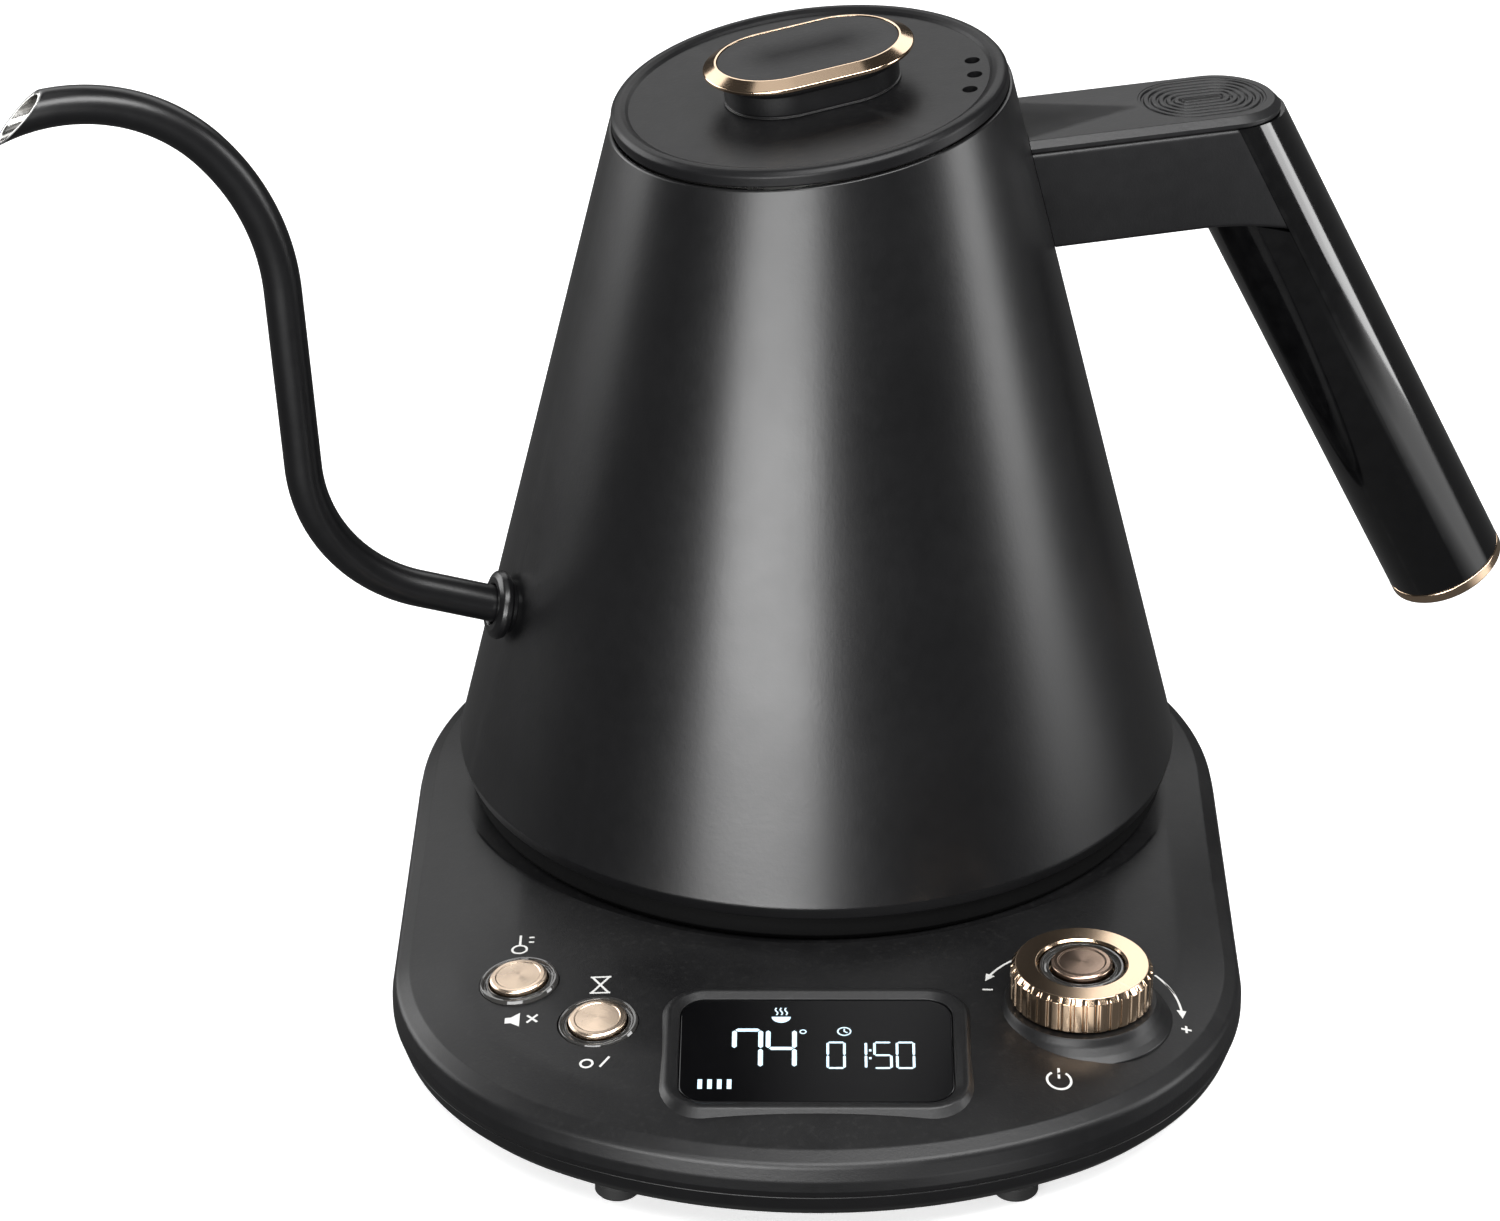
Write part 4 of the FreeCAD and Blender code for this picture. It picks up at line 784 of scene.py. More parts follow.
@dataclass
class Spout:
    """The gooseneck: a tube along a line, an elbow, an upright, a crown and a drooping tip."""

    radius: float = 3.65
    lining: float = 3.25
    bore: float = 2.85
    root: tuple[float, float] = (60.0, 35.7)
    rise: float = 21.0
    elbow_radius: float = 34.0
    lean: float = 3.1
    crown_start: tuple[float, float] = (105.5, 111.3)
    crown_radius: float = 50.0
    crown_turn: float = 48.0
    tip_radius: float = 35.0
    droop: float = 24.0
    tip: tuple[float, float] = (151.8, 153.0)
    cut: float = 46.0
    cut_reach: float = 40.0
    place: Place = field(default_factory=lambda: KETTLE_PLACE)

    def route(self) -> tuple[Array, Array]:
        """Works out the centre line as points and headings.

        Each arc's points are its start plus radius times the change of sine and cosine of the
        heading, so that runs and arcs meet with no break in direction.

        Returns:
            The points in the handle's plane, and the heading at each in radians.
        """
        rise, lean = math.radians(self.rise), math.radians(90.0 - self.lean)
        crown, droop = math.radians(self.crown_turn), -math.radians(self.droop)
        root, upright = np.array(self.root), np.array(self.crown_start)
        gap = upright - root
        along = (gap[0] * math.sin(lean) - gap[1] * math.cos(lean)) / math.sin(lean - rise)
        corner = root + along * np.array([math.cos(rise), math.sin(rise)])
        reach = self.elbow_radius * math.tan((lean - rise) / 2)
        elbow = corner - reach * np.array([math.cos(rise), math.sin(rise)])
        leaving = corner + reach * np.array([math.cos(lean), math.sin(lean)])

        def straight(start: Array, end: Array, heading: float, count: int) -> tuple[Array, Array]:
            """Returns evenly spaced points of a straight run and the heading at each."""
            return start + np.linspace(0, 1, count)[:, None] * (end - start), np.full(count, heading)

        def arc(start: Array, first: float, last: float, radius: float, count: int) -> tuple[Array, Array]:
            """Works out an arc between two headings.

            Args:
                start: its first point.
                first: heading at its start, in radians.
                last: heading at its end, in radians.
                radius: its radius.
                count: number of its points.

            Returns:
                Its points and the heading at each.
            """
            heading = np.linspace(first, last, count)
            side = math.copysign(radius, last - first)
            step = np.stack([np.sin(heading) - math.sin(first), math.cos(first) - np.cos(heading)], -1)
            return start + side * step, heading

        runs = [straight(root, elbow, rise, 12), arc(elbow, rise, lean, self.elbow_radius, 48),
                straight(leaving, upright, lean, 24), arc(upright, lean, crown, self.crown_radius, 32)]
        runs.append(arc(runs[-1][0][-1], crown, droop, self.tip_radius, 64))
        points = np.concatenate([run[0][:-1] for run in runs[:-1]] + [runs[-1][0]])
        headings = np.concatenate([run[1][:-1] for run in runs[:-1]] + [runs[-1][1]])
        return points, headings

    def wall(self, radius: float, count: int = 48) -> Array:
        """Works out the tube's surface at one radius, ended on the slanted cut.

        Each line along the tube is followed to where it crosses the cut's plane and is divided
        again between the root and that point.

        Args:
            radius: distance from the centre line.
            count: lines round the tube.

        Returns:
            A grid of points, rows along the tube.
        """
        points, headings = self.route()
        step = np.linalg.norm(np.diff(points, axis=0), axis=1)
        travel = np.concatenate([[0.0], np.cumsum(step)])
        turn = np.linspace(0, 2 * np.pi, count, endpoint=False)
        cosine, sine = np.cos(turn)[None, :], np.sin(turn)[None, :]

        def surface(distance: Array) -> Array:
            """Returns the surface's points at a distance along the route for each line."""
            x, z, heading = (np.interp(distance, travel, row) for row in (*points.T, headings))
            return np.stack([-(x - radius * cosine * np.sin(heading)), radius * sine + 0 * x,
                             z + radius * cosine * np.cos(heading)], -1)

        lines = surface(np.repeat(travel[:, None], count, 1))
        angle = math.radians(self.cut)
        normal = np.array([-math.sin(angle), 0.0, math.cos(angle)])
        beyond = (lines - np.array([-self.tip[0], 0.0, self.tip[1]])) @ normal
        # the cut acts near the tip only, and keeps the side of its plane that the tube comes from
        near = travel[:, None] > travel[-1] - self.cut_reach
        side = np.sign(beyond[len(travel) // 2])[None, :]
        passed = near & (beyond * side < 0)
        last = np.where(passed.any(0), passed.argmax(0), len(travel) - 1)
        column = np.arange(count)
        a, b = beyond[last - 1, column] * side[0], beyond[last, column] * side[0]
        share = np.clip(a / np.maximum(a - b, 1e-9), 0.0, 1.0)
        ends = travel[last - 1] + share * (travel[last] - travel[last - 1])
        return surface(travel[:, None] / travel[-1] * ends[None, :])

    def build(self) -> None:
        """Makes the coated tube and its bright lining."""
        outer, seam, bore = self.wall(self.radius), self.wall(self.lining), self.wall(self.bore)
        Piece("gooseneck", self.place).grid(np.concatenate([outer, seam[::-1]])).make(
            BODY_COAT, Body.KETTLE, ["spout_tube"], "body_coat", sharp=50.0)
        # the lining stands 0.02 mm inside the coat, so that their faces don't coincide
        seam = self.wall(self.lining - 0.02)
        Piece("gooseneck_lining", self.place).grid(np.concatenate([seam, bore[::-1]])).make(
            STEEL, Body.KETTLE, (), "steel", sharp=50.0)


@dataclass
class Handle:
    """The arm, its cap with the ribbed thumb rest, and the slanted grip with its gold band."""

    cone: KettleBody
    arm_top: float = 128.3
    arm_bottom: float = 105.4
    half_width: float = 12.2
    cap_thick: float = 2.4
    cap_end: float = 83.0
    sag: float = 2.8
    sag_start: float = 7.0
    grip_radius: float = 12.25
    grip_top: float = 81.3
    grip_tilt: float = 27.05
    grip_length: float = 126.7
    ring_length: float = 2.7
    thumb_x: float = 79.4
    thumb_length: float = 12.9
    thumb_width: float = 9.6
    thumb_depth: float = 0.8
    rib_pitch: float = 1.5
    rib_count: int = 6
    place: Place = field(default_factory=lambda: KETTLE_PLACE)

    @property
    def under_cap(self) -> float:
        """Level of the arm's top, under the cap."""
        return self.arm_top - self.cap_thick

    def joint_x(self, level: Array | float) -> Array | float:
        """Returns where the grip's axis, along which the arm meets the grip, passes a level."""
        return self.grip_top + (self.arm_top - level) * math.tan(math.radians(self.grip_tilt))

    def drop(self, x: Array | float) -> Array | float:
        """Returns how far the arm's underside curves down at x: a parabola that starts near the grip."""
        start, end = self.cap_end - self.sag_start, self.joint_x(self.arm_bottom - self.sag)
        return self.sag * np.clip((x - start) / (end - start), 0.0, 1.0) ** 2

    def build(self) -> None:
        """Makes the pieces."""
        self.build_arm()
        self.build_cap()
        self.build_grip()

    def build_arm(self) -> None:
        """Makes the arm: a rounded rectangle carried from the cone's wall to the grip's axis.

        A point goes from the wall, where x squared is the cone's radius squared less y squared, to
        the joint line at its level, and sinks by the underside's drop in proportion to its depth.
        """
        deep = self.under_cap - self.arm_bottom
        middle = self.arm_bottom + deep / 2
        section = Outline.box(self.half_width, deep / 2, 1.1, 6).plan()
        y, level = section[:, 0], section[:, 1] + middle
        share = np.linspace(0.0, 1.0, 48)[:, None]
        start = np.sqrt(self.cone.radius(level) ** 2 - y ** 2) + 0.1
        x = start + share * (self.joint_x(level) - start)
        sink = self.drop(x) * (self.under_cap - level) / deep
        x = x + sink * math.tan(math.radians(self.grip_tilt)) * share
        body = np.stack([x, y + 0 * x, level - sink], -1)
        ends = [body[:1].copy(), body[-1:].copy()]
        for end in ends:
            end[..., 1] = 0.0
        Piece("handle_beam", self.place).grid(np.concatenate([ends[0], body, ends[1]]), False).make(
            ARM_PLASTIC, Body.KETTLE, ["handle_arm"], "black_plastic")

    def cap_outline(self, profile: Array) -> Array:
        """Carries a profile round the cap's plan.

        The plan is a half circle about the cap's end, joined by straight sides to a line where x
        squared is the cone's radius squared at that level less y squared.

        Args:
            profile: rows of offset, positive outwards, and level.

        Returns:
            A grid of points, a row for each row of the profile.
        """
        offset, level = profile[:, :1], profile[:, 1:]
        width = self.half_width + offset
        turn = np.radians(np.linspace(-90.0, 90.0, 40))
        round_x, round_y = self.cap_end + width * np.cos(turn), width * np.sin(turn)
        side = np.linspace(1.0, -1.0, 24)
        wall_y = width * side
        wall_x = np.sqrt(self.cone.radius(level) ** 2 - wall_y ** 2) + 0.1
        x, y = np.hstack([round_x, wall_x]), np.hstack([round_y, wall_y])
        return np.stack([x, y, level + 0 * x], -1)

    def build_cap(self) -> None:
        """Makes the bevelled cap and the thumb rest set into it."""
        half, top, under = self.half_width, self.arm_top, self.under_cap
        section = rounded([(-half, under + 0.02), (-0.35, under + 0.02), (-0.02, under + 0.35),
                           (-0.02, top - 1.3), (-1.3, top), (-half, top)], 0.25, 4, -half)
        recess = Piece("thumb_recess", self.place.at(self.thumb_x))
        outline = Outline.box(self.thumb_length, self.thumb_width, self.thumb_width, 16)
        recess.prism(outline.plan(), top - self.thumb_depth, top + 2.0)
        Piece("handle_cap", self.place).grid(self.cap_outline(section)).make(
            ARM_PLASTIC, Body.KETTLE, ["arm_cap"], "black_plastic", [recess])
        crest, groove, base = top - 0.05, top - 0.5, top - self.thumb_depth + 0.01
        ribs = [(-self.thumb_width, crest)]
        for number in reversed(range(self.rib_count)):
            edge = -self.rib_pitch * (number + 0.5)
            ribs += [(edge - 0.55, crest), (edge - 0.35, groove), (edge, groove), (edge + 0.2, crest)]
        ribs += [(-0.03, crest), (-0.03, base), (-self.thumb_width, base)]
        Piece("thumb_rest", self.place.at(self.thumb_x)).grid(
            outline.carry(rounded(ribs, 0.12, 3, -self.thumb_width))).make(
                ARM_PLASTIC, Body.KETTLE, (), "black_plastic")

    def build_grip(self) -> None:
        """Makes the grip, cut to fit under the cap and round the arm's end, its band and its end cap."""
        length, ring, radius = self.grip_length, self.ring_length, self.grip_radius
        down = self.place.at(self.grip_top, 0, self.arm_top, pitch=180.0 - self.grip_tilt)
        # the underside of the arm as far as the axis, up the axis, out under the cap and back above it
        near, far, above = 50.0, 130.0, 170.0
        x = np.linspace(near, self.joint_x(self.arm_bottom - self.sag), 16)
        under = np.column_stack([x, self.arm_bottom - self.drop(x)])
        joint = [(self.joint_x(self.under_cap), self.under_cap), (far, self.under_cap), (far, above),
                 (near, above)]
        notch = Piece("grip_notch", self.place.at(roll=90.0))
        notch.prism(np.vstack([under, joint]), -30.0, 30.0)
        band = length - ring
        Piece("grip", down).lathe(
            [(0, -16), (radius, -16), (radius, band), (9.4, band), (9.4, 40), (0, 40)],
            [0, 0, 0.35, 0.1, 0.1, 0], 5, 160).make(
                GLOSS, Body.KETTLE, ["handle_grip"], "gloss_plastic", [notch])
        Piece("grip_band", down).lathe(
            [(9.45, band + 0.05), (radius - 0.1, band + 0.05), (radius + 0.03, band + 0.25),
             (radius + 0.03, length - 0.6), (radius - 0.6, length), (9.45, length)], 0.2, 4, 160).make(
                 GOLD, Body.KETTLE, ["grip_ring"], "gold_metal")
        Piece("grip_end", down).lathe(
            [(0, length - 9), (9.3, length - 9), (9.3, length - 0.6), (8.6, length - 0.2),
             (3.2, length - 0.2), (2.9, length - 0.6), (2.9, length - 2.5), (0, length - 2.5)], 0.2, 4).make(
                 GLOSS, Body.KETTLE, ["grip_end_cap"], "gloss_plastic")


@dataclass
class Lid:
    """The lid's cover with its steam vents, and the stadium-shaped knob."""

    offset: float = 1.65
    knob_offset: float = 0.8
    height: float = 141.0
    slant: float = 7.2
    half_length: float = 20.65
    half_width: float = 14.2
    stem_short: float = 3.4
    stem_narrow: float = 2.4
    vent_circle: float = 32.0
    vent_radius: float = 1.5
    vent_angles: tuple[float, ...] = (-8.5, -20.5, -32.5)

    def place(self, offset: float) -> Place:
        """Returns a frame on the lid's plane, this far from the kettle's axis towards the spout."""
        level = self.height - offset * math.tan(math.radians(self.slant))
        return KETTLE_PLACE.at(-offset, 0, level, pitch=-self.slant)

    def build(self) -> None:
        """Makes the pieces."""
        place, knob = self.place(self.offset), self.place(self.knob_offset)
        vents = Piece("vent_holes", place)
        for angle in self.vent_angles:
            x, y = (self.vent_circle * f(math.radians(angle)) for f in (math.cos, math.sin))
            hole = Outline.of_arcs([(x, y, self.vent_radius, 0, 345, 24)])
            vents.prism(hole.plan(), -6.0, 3.0)
        Piece("lid_top", place).lathe(
            [(0, -1.0), (34.9, -1.0), (35.5, -0.45), (36.5, 0), (37.7, -0.2), (38.4, -1.1), (38.5, -3.2),
             (36.0, -3.2), (34.4, -2.6), (0, -2.6)],
            [0, 0.25, 0.8, 1.2, 1.0, 1.0, 0.3, 0.2, 0.2, 0], 6, 192).make(
                 LID_COAT, Body.LID, ["lid_cover"], "body_coat", [vents])
        outline = Outline.box(self.half_length, self.half_width, self.half_width, 32)
        centre, half = -self.half_width, self.half_width - self.stem_narrow
        stem = Outline.box(self.half_length - self.stem_short, half, half, 32)
        Piece("knob_foot", knob).grid(stem.carry(rounded(
            [(-half, -1.0), (0.0, -1.0), (0.15, -0.6), (-0.2, -0.45), (-0.1, 0.0), (0.0, 3.7), (1.0, 4.4),
             (1.2, 5.15), (-half, 5.15)], [0, 0.05, 0.1, 0.1, 0.1, 0.4, 0.3, 0.1, 0], 5, -half))).make(
                BASE_PLASTIC, Body.LID, ["knob_stem"], "black_plastic")
        Piece("knob_rim", knob).grid(outline.carry(rounded(
            [(-0.7, 5.2), (0, 5.6), (0, 6.25), (-2.4, 7.5), (-2.8, 7.5), (-2.8, 5.2)],
            [0.2, 0.3, 0.35, 0.18, 0.1, 0.1], 5, None))).make(GOLD, Body.LID, ["knob_ring"], "gold_metal")
        Piece("knob_plate", knob).grid(outline.carry(rounded(
            [(centre, 5.2), (-2.85, 5.2), (-2.85, 7.4), (centre, 7.4)], [0, 0.1, 0.25, 0], 4, centre))).make(
                LID_COAT, Body.LID, ["knob_insert"], "black_plastic")


# ------------------------------------------------------------------------------------- power base
@dataclass
class PowerBase:
    """The base's covers and feet, and the heights of its crowned top."""

    half_width: float = 82.0
    corner_y: float = -72.48
    corner_x: float = 18.0
    corner_radius: float = 64.0
    front_y: float = -41.3
    front_radius: float = 100.0
    seat_radius: float = 74.0
    seat_level: float = 22.9
    hole_radius: float = 13.0
    deck_thick: float = 2.2
    feet: tuple[tuple[float, float], ...] = ((-37.0, -121.0), (37.0, -121.0), (-50.0, 42.0), (50.0, 42.0))
    crown_insets: tuple[float, ...] = (0.0, 1.1, 3.5, 12.0, 24.0, 42.0, 90.0)
    crown_levels: tuple[float, ...] = (15.6, 18.5, 20.5, 22.7, 24.15, 25.0, 25.0)

    def outline(self) -> Outline:
        """Works out the plan outline: a half circle, straight sides, two corners and a front arc.

        A straight side is made of points whose direction stays the same while their centre slides.

        Returns:
            The outline.
        """
        lean = self.front_angle()
        side = np.linspace(0.0, self.corner_y, 40)[1:-1]
        left = Outline(np.stack([0 * side, side], -1), np.full(len(side), np.pi),
                       np.full(len(side), self.half_width))
        right = Outline(left.centres[::-1], np.full(len(side), 2 * np.pi), left.radii)
        x, y, r = self.corner_x, self.corner_y, self.corner_radius
        arcs = [Outline.of_arcs([(0, 0, self.half_width, 0, 180, 121)]), left,
                Outline.of_arcs([(-x, y, r, 180, 180 + lean, 48)]),
                Outline.of_arcs([(0, self.front_y, self.front_radius, 180 + lean, 360 - lean, 80)]),
                Outline.of_arcs([(x, y, r, 360 - lean, 360, 48)]), right]
        return Outline(*(np.concatenate([getattr(arc, key) for arc in arcs])
                         for key in ("centres", "angles", "radii")))

    def front_angle(self) -> float:
        """Returns how far each corner arc turns, in degrees, before the front arc takes over."""
        return math.degrees(math.atan2(self.front_y - self.corner_y, self.corner_x))

    def inset(self, x: Array, y: Array) -> Array:
        """Works out the distance inwards from the outline, by the sector that each point is in.

        Args:
            x: first coordinates of the points.
            y: second coordinates of the points.

        Returns:
            The distances.
        """
        lean = math.tan(math.radians(self.front_angle()))
        rear = self.half_width - np.hypot(x, y)
        side = self.half_width - np.abs(x)
        corner = self.corner_radius - np.hypot(np.abs(x) - self.corner_x, y - self.corner_y)
        front = self.front_radius - np.hypot(x, y - self.front_y)
        in_front = (self.front_y - y) > np.abs(x) * lean
        middle = np.where(in_front, np.minimum(front, side), side)
        fore = np.where(in_front, front, corner)
        return np.where(y > 0, rear, np.where(y > self.corner_y, middle, fore))

    def height(self, x: Array, y: Array) -> Array:
        """Works out the level of the crowned top at points, before the seat is sunk into it.

        The level follows the crown's points over the inset, rounded by a moving average whose
        weights rise and fall as a cosine, 3.1 mm wide.

        Args:
            x: first coordinates of the points.
            y: second coordinates of the points.

        Returns:
            The levels.
        """
        inset = self.inset(np.asarray(x, float), np.asarray(y, float))
        fine = np.linspace(0.0, self.crown_insets[-1], 1801)
        level = np.interp(fine, self.crown_insets, self.crown_levels)
        reach = 31
        weights = np.hanning(2 * reach + 1)
        padded = np.pad(level, reach, mode="edge")
        smooth = np.convolve(padded, weights / weights.sum(), "valid")
        # near the edge the profile is steep, so smoothing fades in from 5 to 7 mm inside the outline
        level += (smooth - level) * np.clip((fine - 5.0) / 2.0, 0.0, 1.0)
        return np.interp(inset, fine, level)

    def build(self) -> None:
        """Makes the pieces."""
        self.build_top()
        self.build_tray()
        self.build_feet()

    def build_top(self) -> None:
        """Makes the top cover: rings that pass from the outline to the round seat, at the top's height.

        Ring points lie between the outline's points and the points of a circle in the same
        direction from the kettle's axis, and a second set of rings below closes the wall.
        """
        outline = self.outline()
        steps = 6
        rim = rounded([(-0.5, 12.0), (0.0, 13.4), (0.0, 15.6), (-0.7, 18.7), (-3.5, 20.5), (-12, 22.7),
                       (-20, 12.0)], [0.25, 0.8, 2.5, 1.8, 1.6, 0, 0], steps, None)
        rim = outline.carry(rim[:5 * (steps + 2)])
        edge = outline.carry(np.array([(-4.6, 0.0)]))[0, :, :2]
        away = edge / np.linalg.norm(edge, axis=1, keepdims=True)

        def ring(reach: Array) -> Array:
            """Returns plan rings at given radii about the kettle's axis."""
            return reach[:, None, None] * away[None]

        share = np.linspace(0.0, 1.0, 44)[:, None, None]
        between = (1 - share) * edge[None] + share * ring(np.array([self.seat_radius + 0.5]))
        lip = ring(self.seat_radius + np.array([0.3, 0.1, 0.0, -0.1, -0.25, -0.6, -4.0, -12.0, -30.0, -60.0]))
        sink = np.array([0.06, 0.25, 0.5, 0.75, 0.94, 1.0, 1.0, 1.0, 1.0, 1.0])[:, None]
        outer = self.height(between[..., 0], between[..., 1])
        inner = self.height(lip[..., 0], lip[..., 1])
        inner = inner + (np.minimum(inner, self.seat_level) - inner) * sink
        inner[-4:] = self.seat_level
        low = self.seat_level - self.deck_thick
        under = outline.carry(np.array([(-7.0, 0), (-3.9, 0), (-2.6, 0), (-2.6, 0)]))[..., :2]
        floor = np.concatenate([ring(np.array([self.hole_radius, self.hole_radius, 72.0])), under])
        floor_level = np.broadcast_to(np.array([self.seat_level, low, low, 18.3, 17.2, 15.0, 12.0])[:, None],
                                      floor.shape[:2])
        plan = np.concatenate([between, lip, floor])
        levels = np.concatenate([outer, inner, floor_level])
        points = np.concatenate([rim, np.concatenate([plan, levels[..., None]], -1)])
        Piece("base_top", BASE_PLACE).grid(points).make(
            BASE_PLASTIC, Body.BASE, ["base_top_cover"], "black_plastic",
            [Display().cutter(), *(key.cutter(self) for key in KEYS)], sharp=28.0)

    def build_tray(self) -> None:
        """Makes the bottom cover: an outer and an inner bowl joined at the parting line."""
        outline = self.outline()
        under, floor = 4.5, 6.5
        wall = outline.carry(rounded([(-40, under), (-8.0, under), (-4.6, 5.6), (-1.6, 8.7), (-0.5, 11.9),
                                      (-2.5, 11.9), (-3.6, 9.4), (-6.4, 7.1), (-9.6, floor), (-40, floor)],
                                     [0, 2.5, 3.5, 3.5, 0.2, 0.2, 1, 1, 1, 0], 6, -40))
        middle = np.array([0.0, -30.0, 0.0])
        ends = [np.broadcast_to(middle + (0, 0, level), wall[:1].shape) for level in (under, floor)]
        Piece("base_tray", BASE_PLACE).grid(np.concatenate([ends[0], wall, ends[1]]), False).make(
            BASE_PLASTIC, Body.BASE, ["base_bottom_cover"], "black_plastic")

    def build_feet(self) -> None:
        """Makes the four rubber feet, each with a groove round it."""
        feet = Piece("feet", BASE_PLACE)
        for x, y in self.feet:
            feet.place = BASE_PLACE.at(x, y)
            feet.lathe([(0, 0), (3.9, 0), (4.3, 0.5), (4.25, 2.6), (4.0, 2.9), (4.0, 3.4), (4.3, 3.7),
                        (4.3, 5.3), (0, 5.3)], 0.25, 4, 48)
        feet.make(RUBBER, Body.BASE, ["base_feet"], "rubber")


@dataclass(frozen=True)
class Key:
    """A gold push button in its clear ring, leaning outwards on the crowned top."""

    name: str
    body: Body
    x: float
    y: float
    radius: float = 5.5
    ring: float = 7.6
    lean: float = 7.0
    level: float = 24.0

    def place(self, base: PowerBase) -> Place:
        """Returns the button's frame, leaning away from the centre of the corner's arc."""
        return BASE_PLACE.at(self.x, self.y, self.level, yaw=self.yaw(base), pitch=self.lean)

    def yaw(self, base: PowerBase) -> float:
        """Returns the direction from the corner's centre to the button, in degrees."""
        return math.degrees(math.atan2(self.y - base.corner_y, self.x + base.corner_x))

    def cutter(self, base: PowerBase) -> Piece:
        """Returns the solid that makes room for the button in the top cover."""
        return Piece(self.name + "_room", self.place(base)).lathe(
            [(0, -7), (self.ring + 0.15, -7), (self.ring + 0.15, 7), (0, 7)], 0.0, 2, 96)

    def build(self, base: PowerBase) -> None:
        """Makes the ring and the spun cap.

        Args:
            base: the base that the button sits in.
        """
        place, bore, ring = self.place(base), self.radius + 0.3, self.ring
        Piece(self.name + "_ring", place).lathe(
            [(bore, -3.0), (ring, -3.0), (ring, 0.15), (ring - 0.3, 0.7), (ring - 0.75, 0.65),
             (ring - 1.05, 0.2), (bore + 0.4, 0.15), (bore + 0.2, 0.55), (bore, 0.4)], 0.12, 4, 96).make(
                 CLEAR, Body.BASE, [self.name + "_button_ring"], "clear_plastic")
        spun = replace(KEY_GOLD, name=self.name + "_gold", centre=tuple(place.origin),
                       tilt=(self.yaw(base), self.lean))
        Piece(self.name + "_cap", place).lathe(
            [(0, -3.55), (self.radius, -3.55), (self.radius, 1.2), (5.1, 1.55), (4.4, 1.6), (4.2, 1.45),
             (0, 1.5)], [0, 0.2, 0.25, 0.2, 0.15, 0.1, 0], 5, 96).make(
                spun, self.body, [self.name + "_button"], "spun_gold")


KEYS = (Key("temp", Body.TEMP, -56.6, -86.8), Key("hold", Body.HOLD, -41.0, -101.4))


@dataclass
class Dial:
    """The fluted gold dial, its clear ring, the start button in it and the collar under it."""

    x: float = 49.8
    y: float = -95.5
    radius: float = 13.4
    low: float = 26.3
    top: float = 33.8
    flutes: int = 36
    depth: float = 0.35
    collar_radius: float = 17.4
    collar_low: float = 21.45

    def build(self) -> None:
        """Makes the pieces."""
        place, foot, low = BASE_PLACE.at(self.x, self.y), self.collar_radius, self.collar_low
        Piece("dial_cone", place).lathe(
            [(6.5, low), (foot, low), (foot, 22.1), (16.2, 23.2), (15.0, 24.6), (14.4, 25.7), (14.2, 26.0),
             (6.5, 26.0)], [0.1, 0.1, 0.4, 3.0, 3.0, 0.3, 0.1, 0.1], 6).make(
                 BASE_PLASTIC, Body.BASE, ["dial_collar"], "black_plastic")
        self.build_wheel(place)
        Piece("dial_ring", place).lathe(
            [(6.2, 31.45), (8.1, 31.45), (8.1, 32.9), (7.8, 33.4), (7.35, 33.4), (7.1, 32.8), (6.6, 32.7),
             (6.4, 33.1), (6.2, 33.0)], 0.12, 4).make(
                 CLEAR, Body.DIAL, ["dial_window"], "clear_plastic")
        Piece("start_cap", place).lathe(
            [(0, 29.8), (5.75, 29.8), (5.75, 33.9), (5.3, 34.25), (4.6, 34.3), (4.3, 34.1), (0, 34.15)],
            [0, 0.2, 0.3, 0.2, 0.15, 0.1, 0], 5).make(
                replace(START_GOLD, centre=tuple(place.origin)), Body.START, ["start_button"], "spun_gold")

    def build_wheel(self, place: Place) -> None:
        """Makes the dial: a turned section whose side is pressed in by evenly spaced flutes.

        The radius is less by the depth times a smooth step of the turn's cosine, so that each flute
        takes up about a third of its pitch, and the flutes fade out over the bevel at the top.

        Args:
            place: frame on the dial's axis.
        """
        low, top, radius = self.low, self.top, self.radius
        side = np.column_stack([np.full(8, radius), np.linspace(low + 0.6, top - 1.1, 8)])
        section = rounded([(4.75, low), (radius - 0.7, low), *side.tolist(), (radius - 0.9, top), (8.7, top),
                           (8.3, top - 0.4), (8.3, top - 2.4), (6.15, top - 2.4), (6.15, top - 5.8),
                           (4.75, top - 5.8)], 0.14, 4, None)
        count = self.flutes * 16
        points = revolve(section, count)
        turn = np.linspace(0.0, 2 * np.pi, count, endpoint=False)
        wave = 0.5 + 0.5 * np.tanh(6.0 * (np.cos(self.flutes * turn) - 0.55))
        reach = np.linalg.norm(points[..., :2], axis=-1)
        share = np.clip((reach - (radius - 0.55)) / 0.5, 0.0, 1.0)
        share = share * np.clip((top - 0.5 - points[..., 2]) / 0.6, 0.0, 1.0)
        points[..., :2] *= (1 - self.depth * wave * share / np.maximum(reach, 1e-6))[..., None]
        Piece("dial_wheel", place).grid(points).make(
            GOLD, Body.DIAL, ["dial_knob"], "gold_metal", sharp=40.0)


# --------------------------------------------------------------------------------- lit and printed
SEGMENTS = {"0": "abcdef", "1": "bc", "2": "abged", "4": "fgbc", "5": "afgcd", "7": "fabc"}


def strips(lines: Iterable[Sequence[Sequence[float]]], width: float) -> list[Array]:
    """Widens polylines into flat strips with square ends.

    Each point moves half the width to both sides along the line's normal there, which is the mean
    of its neighbours' normals.

    Args:
        lines: the polylines, as x and y.
        width: width of the strips.

    Returns:
        One closed plan outline for each polyline.
    """
    made = []
    for line in lines:
        p = np.asarray(line, float)
        along = np.gradient(p, axis=0)
        along /= np.linalg.norm(along, axis=1, keepdims=True)
        across = np.stack([-along[:, 1], along[:, 0]], -1) * width / 2
        made.append(np.concatenate([p + across, (p - across)[::-1]]))
    return made


def arc_line(x: float, y: float, radius: float, first: float, last: float, count: int = 32) -> Array:
    """Returns points of an arc between two angles in degrees."""
    turn = np.radians(np.linspace(first, last, count))
    return np.stack([x + radius * np.cos(turn), y + radius * np.sin(turn)], -1)


